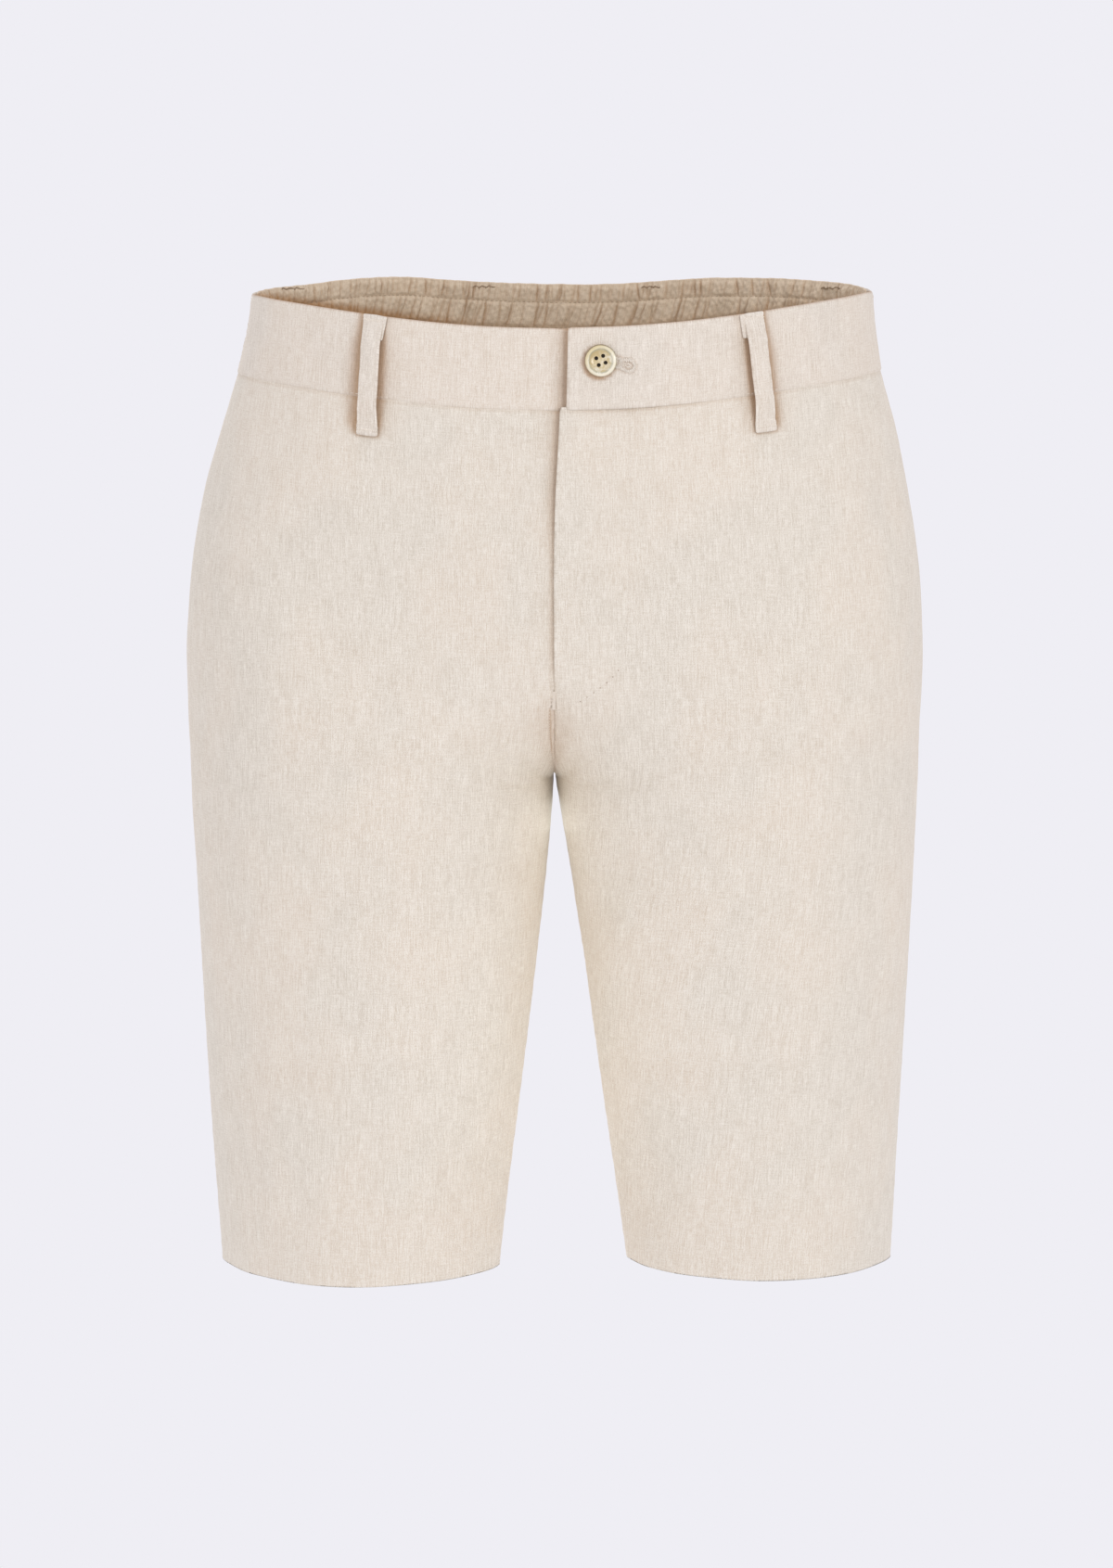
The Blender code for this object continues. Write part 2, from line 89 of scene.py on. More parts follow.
def slopes(knots, values):
    steps = np.diff(values) / np.diff(knots)
    inner = np.where(steps[1:] * steps[:-1] > 0, 0.5 * (steps[1:] + steps[:-1]), 0.0)
    return np.concatenate([steps[:1], inner, steps[-1:]])


def readTable(table, columns, name, height):
    rows = np.array(table)[::-1]
    knots, values = rows[:, 0], rows[:, columns.index(name)]
    slope = slopes(knots, values)
    height = np.clip(height, knots[0], knots[-1])
    row = np.clip(np.searchsorted(knots, height) - 1, 0, len(knots) - 2)
    span = knots[row + 1] - knots[row]
    t = (height - knots[row]) / span
    rise = values[row + 1] - values[row]
    bendIn, bendOut = slope[row] * span - rise, rise - slope[row + 1] * span
    return values[row] + t * rise + t * (1 - t) * ((1 - t) * bendIn + t * bendOut)


def ease(t):
    t = np.clip(t, 0.0, 1.0)
    return t * t * (3 - 2 * t)


def bump(distance, width):
    return np.exp(-((distance / width) ** 2))


def within(value, low, rise, high, fall):
    # 1 between low and high, easing in over the rise and out over the fall
    return ease((value - low) / rise) * ease((high - value) / fall)


def unit(vectors):
    return vectors / np.maximum(np.linalg.norm(vectors, axis=-1, keepdims=True), 1e-9)


def runningTotal(steps):
    # How far each point of a row lies along it, from 0
    totals = np.cumsum(steps, axis=-1)
    return np.concatenate([np.zeros((*steps.shape[:-1], 1)), totals], axis=-1)


def sideName(side):
    return "left" if side == left else "right"


def halfName(half):
    return "front" if half == front else "back"


# The surface that all the cloth follows, as a fine table of points for each quarter
skinSpec = {
    "low": -510.0, "high": 14.0, "step": 1.0, "arcSteps": 240, "outlineSteps": 200,
    # in the weave's way round, depth counts for less on the inner part: how much, up to where, and the fade
    "innerDepth": 0.4, "innerEnd": 0.35, "innerFade": 0.2,
}


def quarterOutline(side, half, height):
    outer = side * readTable(sections, sectionColumns, sideName(side), height)
    depth = half * readTable(sections, sectionColumns, halfName(half), height)
    power = readTable(sections, sectionColumns, "power", height)
    inner = side * readTable(inseams, inseamColumns, sideName(side), np.minimum(height, crotch))
    centre = readTable(centres, centreColumns, halfName(half), height)
    rise = form["forkRiseFront"] if half == front else form["forkRiseBack"]
    climb = np.clip((height - crotch) / rise, 0.0, 1.0)
    hollow = 1 - climb ** form["forkPower"]
    t = np.linspace(0.0, 1.0, skinSpec["outlineSteps"] + 1)[None, :]
    levels = (outer, depth, power, inner, centre, hollow)
    outer, depth, power, inner, centre, hollow = (values[:, None] for values in levels)
    across = np.abs(np.cos(np.pi * t)) * np.where(t < 0.5, hollow, 1.0)
    legX = inner + (outer - inner) * (1 - np.cos(np.pi * t)) / 2
    upLeg = ease((height - hem) / (crotch - hem))[:, None]
    legPower = form["legPowerHem"] + (form["legPowerFork"] - form["legPowerHem"]) * upLeg
    legY = (1 - across**2).clip(0) ** legPower
    bodyX = centre + (outer - centre) * np.sin(np.pi * t / 2) ** (2 / power)
    bodyY = np.cos(np.pi * t / 2).clip(0) ** (2 / power)
    body = ease((height - crotch) / form["bodyRise"])[:, None]
    return body * bodyX + (1 - body) * legX, depth * (body * bodyY + (1 - body) * legY)


def skinTable(side, half):
    spec = skinSpec
    heights = np.arange(spec["low"], spec["high"] + 0.5, spec["step"])
    x, y = quarterOutline(side, half, heights)
    run = runningTotal(np.hypot(np.diff(x), np.diff(y)))
    girth = run[:, -1]
    shares = np.linspace(0.0, 1.0, spec["arcSteps"] + 1)
    points = np.empty((len(heights), len(shares), 2))
    for i in range(len(heights)):
        for axis, outline in enumerate((x, y)):
            points[i, :, axis] = np.interp(shares * girth[i], run[i], outline[i])
    # The weave's own distance round: with less depth on the inner part, the threads hang straight
    steps = np.diff(points, axis=1)
    outerPart = ease((shares[1:] - spec["innerEnd"]) / spec["innerFade"])
    deep = spec["innerDepth"] + (1 - spec["innerDepth"]) * outerPart
    woven = runningTotal(np.hypot(steps[..., 0], deep * steps[..., 1]))
    return {"heights": heights, "points": points, "girth": girth, "woven": woven}


skins = {(side, half): skinTable(side, half) for side in (left, right) for half in (front, back)}


def rowHeight(side, half, share, row):
    nearWaist = ease((row - form["dipFade"]) / (bandSeam - form["dipFade"]))
    edge = "front" if half == front else "back" + sideName(side).capitalize()
    rise = readTable(edgeRises, edgeColumns, edge, share)
    tilt = form["sideTilt"] * side * np.sin(np.pi * share / 2)
    nearHem = ease((hem + form["hemFade"] - row) / form["hemFade"])
    uneven = readTable(hemRises, hemColumns, sideName(side), share)
    return row + nearWaist * (rise + tilt) + nearHem * uneven


def tableValue(table, height, share):
    # Between the four entries of a fine table round a height and a share
    last = skinSpec["arcSteps"]
    i = np.clip((height - skinSpec["low"]) / skinSpec["step"], 0, len(table) - 1.001)
    j = np.clip(np.abs(share) * last, 0, last - 1e-6)
    i0, j0 = i.astype(int), j.astype(int)
    fi, fj = i - i0, j - j0
    if table.ndim > 2:
        fi, fj = fi[..., None], fj[..., None]
    low, high = (table[k, j0] * (1 - fj) + table[k, j0 + 1] * fj for k in (i0, i0 + 1))
    return low * (1 - fi) + high * fi


def quarterPoint(side, half, share, row):
    height = rowHeight(side, half, share, row)
    place = tableValue(skins[side, half]["points"], height, share)
    return np.concatenate([place, height[..., None]], axis=-1)


def wovenAt(side, half, share, row):
    height = rowHeight(side, half, np.abs(share), row)
    return np.sign(share) * tableValue(skins[side, half]["woven"], height, share)


def skinPoint(side, half, share, row):
    # A share below 0 reaches past the centre seam on to the other side
    share, row = np.broadcast_arrays(np.asarray(share, float), np.asarray(row, float))
    here = quarterPoint(side, half, np.abs(share), row)
    if (share >= 0).all():
        return here
    return np.where((share >= 0)[..., None], here, quarterPoint(-side, half, np.abs(share), row))


def skinNormal(side, half, share, row):
    share, row = np.broadcast_arrays(np.asarray(share, float), np.asarray(row, float))
    stepShare, stepRow = 0.006, 1.5
    low = np.where(share >= 0, np.clip(share - stepShare, 0, 1), share - stepShare)
    high = np.clip(share + stepShare, -1, 1)
    around = skinPoint(side, half, high, row) - skinPoint(side, half, low, row)
    down = skinPoint(side, half, share, row - stepRow) - skinPoint(side, half, share, row + stepRow)
    return unit(np.cross(around, down) * side * half)


def girthAt(side, half, row):
    skin = skins[side, half]
    return np.interp(row, skin["heights"], skin["girth"])


def placeAt(side, half, x, z):
    # The share and row of the skin at x and z
    shares = np.linspace(0.0, 1.0, skinSpec["arcSteps"] + 1)
    row = z
    for _ in range(5):
        points = skinPoint(side, half, shares, np.full(shares.shape, row))
        share = float(np.interp(side * x, side * points[:, 0], shares))
        row = z - (float(rowHeight(side, half, np.array(share), np.array(row))) - row)
    return share, row


def smoothPath(points, count):
    # Catmull-Rom through the points, then evenly spaced
    points = np.array(points, float)
    padded = np.vstack([2 * points[0] - points[1], points, 2 * points[-1] - points[-2]])
    fine = []
    for a, b, c, d in zip(padded, padded[1:], padded[2:], padded[3:]):
        for t in np.linspace(0, 1, 24, endpoint=False):
            curved = (2 * a - 5 * b + 4 * c - d) * t**2 + (3 * b - a - 3 * c + d) * t**3
            fine.append(0.5 * (2 * b + (c - a) * t + curved))
    fine = np.array(fine + [points[-1]])
    run = runningTotal(np.linalg.norm(np.diff(fine, axis=0), axis=1))
    at = np.linspace(0, run[-1], count)
    return np.stack([np.interp(at, run, fine[:, k]) for k in range(fine.shape[1])], axis=-1)


# Making pieces


def newObject(name, data):
    made = bpy.data.objects.new(name, data)
    bpy.context.scene.collection.objects.link(made)
    return made


def plainMesh(piece):
    # What a piece looks like with its modifiers, as a mesh without them
    return bpy.data.meshes.new_from_object(piece.evaluated_get(bpy.context.evaluated_depsgraph_get()))


def meshObject(name, points, faces, finishes, weave=None, finishOf=None):
    mesh = bpy.data.meshes.new(name)
    mesh.from_pydata((points * mm).tolist(), [], faces)
    if weave is not None:
        layer = mesh.uv_layers.new(name="weave")
        corners = np.empty(len(mesh.loops), dtype=np.int32)
        mesh.loops.foreach_get("vertex_index", corners)
        layer.data.foreach_set("uv", (weave[corners] * mm).astype(np.float32).ravel())
    for finish in finishes:
        mesh.materials.append(finish)
    if finishOf is not None:
        mesh.polygons.foreach_set("material_index", finishOf)
    mesh.shade_smooth()
    mesh.update()
    return newObject(name, mesh)


cuts = {}  # how wide and how long each piece of cloth is along its own surface, in mm


def clothPiece(name, points, normals, top, under, weave, finishes, shade=None, turns=4):
    # A closed wall of cloth with rounded edges: top and under say how far its faces lie off a grid of points
    outer, inner = (points + lift[..., None] * normals for lift in (top, under))
    rows, columns = outer.shape[:2]
    wall = np.linalg.norm(outer - inner, axis=2).mean()
    lengths = [np.linalg.norm(np.diff(outer, axis=way), axis=2).sum(way).max() for way in (1, 0)]
    cuts[name] = [float(length + wall) for length in lengths]
    rim = [(0, j) for j in range(columns)] + [(i, columns - 1) for i in range(1, rows)]
    rim += [(rows - 1, j) for j in range(columns - 2, -1, -1)] + [(i, 0) for i in range(rows - 2, 0, -1)]
    rimI, rimJ = np.array(rim).T
    nearI, nearJ = np.clip(rimI, 1, rows - 2), np.clip(rimJ, 1, columns - 2)
    through = outer[rimI, rimJ] - inner[rimI, rimJ]
    half = np.linalg.norm(through, axis=1, keepdims=True) / 2
    through = unit(through)
    away = outer[rimI, rimJ] - outer[nearI, nearJ]
    away = unit(away - (away * through).sum(1, keepdims=True) * through)
    middle = (outer[rimI, rimJ] + inner[rimI, rimJ]) / 2
    angles = np.pi * np.arange(1, turns) / turns
    rounds = [middle + half * (math.cos(a) * through + math.sin(a) * away) for a in angles]
    size = rows * columns
    corners = np.concatenate([outer.reshape(-1, 3), inner.reshape(-1, 3)] + rounds)
    cell = (np.arange(rows - 1)[:, None] * columns + np.arange(columns - 1)[None, :]).ravel()
    outerFaces = np.stack([cell, cell + columns, cell + columns + 1, cell + 1], axis=1)
    innerFaces = outerFaces[:, ::-1] + size
    rimIndex = rimI * columns + rimJ
    roundIndex = [2 * size + k * len(rim) + np.arange(len(rim)) for k in range(turns - 1)]
    rings = [rimIndex, *roundIndex, rimIndex + size]
    rimFaces = [np.stack([a, np.roll(a, -1), np.roll(b, -1), b], axis=1) for a, b in zip(rings, rings[1:])]
    faces = np.concatenate([outerFaces, innerFaces] + rimFaces)
    sample = outerFaces[len(outerFaces) // 2]
    a, b, c, d = corners[sample]
    if np.cross(c - a, d - b) @ (a - corners[size + sample[0]]) < 0:
        faces = faces[:, ::-1]
    flat = weave.reshape(-1, 2)
    weaveAll = np.concatenate([flat, flat] + [flat[rimIndex]] * (turns - 1))
    finishOf = np.zeros(len(faces), dtype=np.int32)
    if len(finishes) > 1:
        finishOf[len(outerFaces):len(outerFaces) + len(innerFaces)] = 1
    made = meshObject(name, corners, faces.tolist(), finishes, weaveAll, finishOf)
    # The shade attribute holds painted shade: one value for each face of the cloth, outer and inner, blended
    # across the rounded edge
    if shade is not None:  # one shade for each face of the cloth, outer and inner
        outerShade, innerShade = (np.broadcast_to(s, (rows, columns)).ravel() for s in shade)
        across = (innerShade - outerShade)[rimIndex]
        atRim = [outerShade[rimIndex] + across * k / turns for k in range(1, turns)]
        layer = made.data.attributes.new("shade", "FLOAT", "POINT")
        layer.data.foreach_set("value", np.concatenate([outerShade, innerShade] + atRim).astype(np.float32))
    return made


def hand(piece, slot, *nodes):
    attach(piece, "root")
    if nodes:
        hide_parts(*nodes)
    return piece


# Finishes


def give(tree, socket, value):
    # An input takes a value, a colour or the socket that feeds it
    if isinstance(value, bpy.types.NodeSocket):
        tree.links.new(value, socket)
    elif socket.type == "RGBA":
        socket.default_value = (*value, 1.0)
    else:
        socket.default_value = value


def node(tree, kind, inputs=None, **settings):
    made = tree.nodes.new(kind)
    for key, value in settings.items():
        setattr(made, key, value)
    for key, value in (inputs or {}).items():
        give(tree, made.inputs[key], value)
    return made


def maths(tree, operation, a, b=0.0):
    return node(tree, "ShaderNodeMath", {0: a, 1: b}, operation=operation).outputs[0]


def vectorMaths(tree, operation, a, b=(0.0, 0.0, 0.0)):
    made = node(tree, "ShaderNodeVectorMath", {0: a, 1: b}, operation=operation)
    return made.outputs["Value" if operation in ("LENGTH", "DOT_PRODUCT") else "Vector"]


def ranged(tree, value, start, end, top=1.0, **settings):
    # 0 up to the start, then rising to the top at the end
    inputs = {"Value": value, "From Min": start, "From Max": end, "To Max": top}
    return node(tree, "ShaderNodeMapRange", inputs, clamp=True, **settings).outputs[0]


def ramp(tree, value, stops):
    made = node(tree, "ShaderNodeValToRGB", {"Fac": value})
    elements = made.color_ramp.elements
    while len(elements) < len(stops):
        elements.new(0.5)
    for element, (position, colour) in zip(elements, stops):
        element.position, element.color = position, (*colour, 1.0)
    return made.outputs[0]


def mixed(tree, factor, a, b, blend="MIX"):
    mix = node(tree, "ShaderNodeMix", {"Factor": factor}, data_type="RGBA", blend_type=blend)
    for socket, colour in zip([socket for socket in mix.inputs if socket.type == "RGBA"], (a, b)):
        give(tree, socket, colour)
    return [socket for socket in mix.outputs if socket.type == "RGBA"][0]


def newMaterial(name, look):
    # look: the inputs of the surface that are the same all over
    made = bpy.data.materials.new(name)
    made.use_nodes = True
    shader = made.node_tree.nodes["Principled BSDF"]
    for key, value in look.items():
        give(made.node_tree, shader.inputs[key], value)
    return made, made.node_tree, shader


def noiseAt(tree, uv, acrossMm, alongMm, detail=2.0, seed=0.0):
    # Noise whose grains are acrossMm wide and alongMm long on the cloth
    scale = (1000.0 / acrossMm, 1000.0 / alongMm, 1.0)
    place = {"Vector": uv, "Location": (seed, 1.7 * seed, 0.0), "Scale": scale}
    place = node(tree, "ShaderNodeMapping", place).outputs[0]
    grains = {"Vector": place, "Scale": 1.0, "Detail": detail, "Roughness": 0.55}
    return node(tree, "ShaderNodeTexNoise", grains, noise_dimensions="2D").outputs["Fac"]


linenSpec = {
    "threads": 0.52,  # mm from thread to thread
    # each kind of thread's width and length on the cloth in mm, how much it shows, and its noise's detail
    "warpLong": (0.56, 17.0, 0.98, 2.0), "warpShort": (0.46, 4.2, 0.85, 1.0), "weft": (7.0, 0.55, 0.50, 1.0),
    "grain": (0.50, 0.70, 0.60, 0.0), "mottle": (7.0, 18.0, 0.28, 2.0), "broad": (60.0, 90.0),
    "warmth": (0.38, 0.62),  # between which values of the broad noise the ground turns warm
    "sway": 70.0, "wiggle": 0.0006, "contrast": 0.43, "shade": (0.60, 0.41, 0.26),
    "weaveHeight": 0.22, "slubHeight": 0.65, "relief": {"Strength": 0.6, "Distance": 0.00022},
    "look": {"Roughness": 0.9, "Specular IOR Level": 0.18, "Sheen Weight": 0.06, "Sheen Roughness": 0.6},
}


def linen(name, dark, light, warm, streak=1.0, shadeDepth=0.85):
    spec = linenSpec
    made, tree, shader = newMaterial(name, spec["look"])
    flat = node(tree, "ShaderNodeUVMap", uv_map="weave").outputs["UV"]
    slow = {"Vector": flat, "Scale": spec["sway"], "Detail": 1.0}
    sway = node(tree, "ShaderNodeTexNoise", slow, noise_dimensions="2D").outputs["Fac"]
    swing = maths(tree, "MULTIPLY", maths(tree, "SUBTRACT", sway, 0.5), 2 * spec["wiggle"])
    uv = vectorMaths(tree, "ADD", flat, node(tree, "ShaderNodeCombineXYZ", {"X": swing}).outputs[0])
    total, weights = 0.0, 0.0
    for k, kind in enumerate(("warpLong", "warpShort", "weft", "grain", "mottle")):
        width, length, share, detail = spec[kind]
        share = share * (1.0 if kind == "mottle" else streak)
        part = maths(tree, "MULTIPLY", noiseAt(tree, uv, width, length, detail, seed=3.1 + 5.7 * k), share)
        total = maths(tree, "ADD", total, part)
        weights += share
    spread = spec["contrast"] * streak
    tone = ranged(tree, total, 0.5 * weights - spread, 0.5 * weights + spread)
    warmth = ranged(tree, noiseAt(tree, uv, *spec["broad"], seed=33.3), *spec["warmth"])
    cloth = mixed(tree, tone, mixed(tree, warmth, dark, warm), light)
    # Painted shade: the shade attribute makes the cloth darker and warmer deep in its gathers, and where it
    # is tucked against a seam or a loop
    tucked = node(tree, "ShaderNodeAttribute", attribute_name="shade").outputs["Fac"]
    shaded = mixed(tree, maths(tree, "MULTIPLY", tucked, shadeDepth), cloth, spec["shade"], "MULTIPLY")
    give(tree, shader.inputs["Base Color"], shaded)
    # Plain weave: threads cross over and under
    turn = math.pi * 1000 / spec["threads"]
    crossing = node(tree, "ShaderNodeMapping", {"Vector": uv, "Scale": (turn, turn, 1.0)}).outputs[0]
    ways = node(tree, "ShaderNodeSeparateXYZ", {0: crossing}).outputs
    over = maths(tree, "MULTIPLY", maths(tree, "SINE", ways["X"]), maths(tree, "SINE", ways["Y"]))
    height = maths(tree, "ADD", maths(tree, "MULTIPLY", over, spec["weaveHeight"]),
                   maths(tree, "MULTIPLY", total, spec["slubHeight"]))
    relieved = node(tree, "ShaderNodeBump", {"Height": height, **spec["relief"]})
    give(tree, shader.inputs["Normal"], relieved.outputs[0])
    return made


def speckled(name, scale, detail, stops, look):
    made, tree, shader = newMaterial(name, look)
    place = node(tree, "ShaderNodeTexCoord").outputs["Object"]
    specks = node(tree, "ShaderNodeTexNoise", {"Vector": place, "Scale": scale, "Detail": detail})
    give(tree, shader.inputs["Base Color"], ramp(tree, specks.outputs["Fac"], stops))
    return made


def threadFinish(name, colour):
    stops = ((0.3, [0.86 * part for part in colour]), (0.7, colour))
    return speckled(name, 2600.0, 1.0, stops, {"Roughness": 0.7, "Specular IOR Level": 0.25})


linenCloth = linen("undyed_linen", (0.640, 0.574, 0.478), (0.850, 0.796, 0.702), (0.677, 0.584, 0.474))
bandLinen = linen("waistband_linen", (0.644, 0.570, 0.480), (0.850, 0.788, 0.698), (0.677, 0.580, 0.472))
facingCloth = linen("facing_linen", (0.640, 0.515, 0.375), (0.810, 0.685, 0.530), (0.665, 0.530, 0.380),
                    streak=0.6, shadeDepth=0.95)
paleThread = threadFinish("pale_thread", (0.82, 0.74, 0.64))
satinThread = threadFinish("satin_thread", (0.93, 0.86, 0.76))
# Painted shade: the facing's thread is dark brown, for stitching that shows dark in the shade of its holes
facingThread = threadFinish("facing_thread", (0.50, 0.38, 0.26))
tackThread = threadFinish("tack_thread", (0.36, 0.26, 0.17))
needleHoleShadow = threadFinish("needle_hole_shadow", (0.50, 0.40, 0.31))
print("finishes made")


# Belt loops: where each lies at its top and bottom, and how far it stands off
loopColumns = ("side", "half", "topX", "bottomX", "seat")
loopTable = (
    (left, front, -89.9, -93.2, 0.3), (right, front, 96.9, 103.6, 0.3), (left, back, -142.0, -149.0, 1.2),
    (right, back, 146.5, 151.5, 1.2), (left, back, -38.7, -39.5, 1.2), (right, back, 50.8, 51.8, 1.2),
)
loopSpec = {
    "width": 10.4, "flare": 0.10, "flareReach": 0.3,  # wider at both ends, over this share of the length
    "tail": 18.8, "wall": 1.7, "bow": 2.8, "bend": 0.28, "rows": 64, "gap": 0.3,
    "lowDip": {front: 9.0, back: -3.0},  # how much lower than its row the bottom lies
    "stitchIn": 1.7, "groove": 0.26, "grooveWidth": 0.45, "backDrop": 2.2, "crown": 0.012,
    "tackAt": (0.045, 0.955), "tackReach": 4.7, "tackWaver": 0.006, "tackDents": (0.35, 0.30), "tucked": 0.7,
    # painted shade beside the loop: how dark, how wide and how far out it starts, on its outer and inner side
    "shadeOuter": (0.85, 6.0, 1.2), "shadeInner": (0.70, 2.0, 0.0), "shadeWide": {left: 1.0, right: 0.62},
    "shadeEnds": (0.35, 0.12), "haloShade": 0.22, "haloWidth": 6.0,
    # the end folded under at the top shows a little to one side: how far out, how far down, how thick
    "foldOut": 6.4, "foldIn": 3.0, "foldDown": 12.0, "foldTaper": {left: 0.28, right: 0.06}, "foldWall": 1.0,
    "foldGap": 0.85, "foldBow": 0.12, "foldCurl": 0.35,
}
loops = [dict(zip(loopColumns, loop)) for loop in loopTable]


def loopLine(loop):
    # How far round the loop's middle line lies at its top and bottom, and the bottom's row
    side, half = loop["side"], loop["half"]
    bottom = bandSeam - loopSpec["tail"]
    topHeight = float(rowHeight(side, half, np.array(0.5), np.array(bandTop)))
    top = placeAt(side, half, loop["topX"], topHeight)[0]
    low = placeAt(side, half, loop["bottomX"], bottom - loopSpec["lowDip"][half])[0]
    return top, low, bottom


def loopShade(side, half, arc, row, girth):
    # Painted shade on the cloth close beside each loop, wider on the side away from the middle
    spec = loopSpec
    shade = np.zeros(np.broadcast(arc, row).shape)
    for loop in loops:
        if (loop["side"], loop["half"]) != (side, half):
            continue
        top, low, bottom = loopLine(loop)
        t = np.clip((bandTop - row) / (bandTop - bottom), 0, 1)
        off = arc - (top + t * (low - top)) * girth
        beyond = np.maximum(np.abs(off) - spec["width"] / 2, 0.0)
        strength, wide, starts = (
            np.where(off > 0, a, b) for a, b in zip(spec["shadeOuter"], spec["shadeInner"]))
        topEnd, lowEnd = spec["shadeEnds"]
        wide = spec["shadeWide"][side] * wide * (0.35 + 0.65 * within(t, 0, topEnd, 1, lowEnd))
        near = strength * bump(np.maximum(beyond - starts, 0.0), wide)
        near = near + spec["haloShade"] * bump(beyond, spec["haloWidth"])
        shade = np.maximum(shade, near * ease((row - bottom + 1.0) / 2.0))
    return shade


flySpec = {
    # x and z down beside the lap and round the J to the bar tack
    "path": ((36.4, -58.5), (36.2, -110.7), (35.2, -160.0), (32.5, -181.6), (25.1, -192.1), (11.5, -202.4),
             (1.5, -206.3)),
    "curveTop": -176.0, "curveFade": 14.0, "groove": 0.12, "curveGroove": 0.24, "grooveWidth": 1.7,
    "tackTop": -196.9, "tackBottom": -205.6, "tackMiddle": -1.3, "tackGap": 0.75,
    "holesFrom": 11.8, "holesTo": 31.0, "holeRise": 0.16,
    "seamX": -3.5, "seamPlaces": (-208.0, -216.0, -225.0, -233.0),
}

# Creases, soft and uneven: x and z of both ends, bow to one side, width and depth
creaseColumns = ("side", "half", "x1", "z1", "x2", "z2", "bow", "width", "depth")
creases = (
    # low on the left leg
    (left, front, -130.5, -345.0, -127.0, -440.0, 5.0, 8.5, 1.00),
    (left, front, -140.0, -415.0, -129.0, -500.0, -4.0, 7.5, 0.90),
    (left, front, -89.0, -385.0, -93.0, -500.0, 4.0, 9.0, 0.70),
    (left, front, -80.0, -421.5, -40.0, -427.5, -2.0, 4.0, 0.55),
    (left, front, -63.0, -250.0, -30.0, -330.0, 6.0, 13.0, 0.60),
    (left, front, -150.0, -150.0, -172.0, -262.0, -8.0, 16.0, 0.80),
    # from the crotch
    (left, front, -3.0, -214.0, -34.0, -262.0, 4.0, 8.0, 0.75),
    (right, front, 2.0, -212.0, 33.0, -170.0, -4.0, 7.5, 0.95),
    (right, front, 3.0, -226.0, 26.0, -268.0, -3.0, 8.0, 0.70),
    # across the right leg's inner side
    (right, front, 60.0, -268.0, 15.0, -362.0, -7.0, 11.0, 1.35),
    (right, front, 40.0, -395.0, 52.0, -478.0, 5.0, 10.0, 0.55),
    (right, front, 112.0, -440.0, 120.0, -500.0, 3.0, 7.0, 0.60),
    (right, front, 150.0, -60.0, 172.0, -140.0, 6.0, 12.0, 0.80),
    (right, front, 160.0, -250.0, 166.0, -380.0, -5.0, 12.0, 0.60),
    (right, front, 22.0, -62.0, 23.0, -112.0, 1.0, 8.0, 0.55),
    # under the seat and down the back of the legs
    (left, back, -8.0, -212.0, -74.0, -268.0, 9.0, 10.0, 1.30),
    (left, back, -20.0, -262.0, -96.0, -300.0, 8.0, 9.0, 1.10),
    (left, back, -150.0, -225.0, -96.0, -262.0, -7.0, 11.0, 0.95),
    (left, back, -118.0, -330.0, -124.0, -470.0, 6.0, 11.0, 0.90),
    (left, back, -64.0, -345.0, -76.0, -492.0, -5.0, 10.0, 0.75),
    (left, back, -70.0, -62.0, -92.0, -128.0, 6.0, 11.0, 0.80),
    (left, back, -20.0, -58.0, -26.0, -118.0, 3.0, 9.0, 0.60),
    (right, back, 9.0, -214.0, 66.0, -258.0, -8.0, 10.0, 1.20),
    (right, back, 24.0, -268.0, 104.0, -296.0, -7.0, 9.0, 1.15),
    (right, back, 152.0, -238.0, 108.0, -280.0, 6.0, 11.0, 0.85),
    (right, back, 112.0, -345.0, 128.0, -482.0, -6.0, 11.0, 0.85),
    (right, back, 70.0, -320.0, 74.0, -440.0, 4.0, 12.0, 0.80),
    (right, back, 84.0, -60.0, 100.0, -136.0, -6.0, 12.0, 0.85),
    (right, back, 30.0, -60.0, 31.0, -104.0, 2.0, 8.0, 0.60),
)
# A crease wavers, widens along its length and has a soft roll on each side: how far off, how wide, how high
creaseSpec = {"waver": 0.8, "widths": (0.8, 1.2), "fade": 1.2, "rolls": ((1.9, 0.9, 0.36), (-1.9, 1.0, 0.30))}
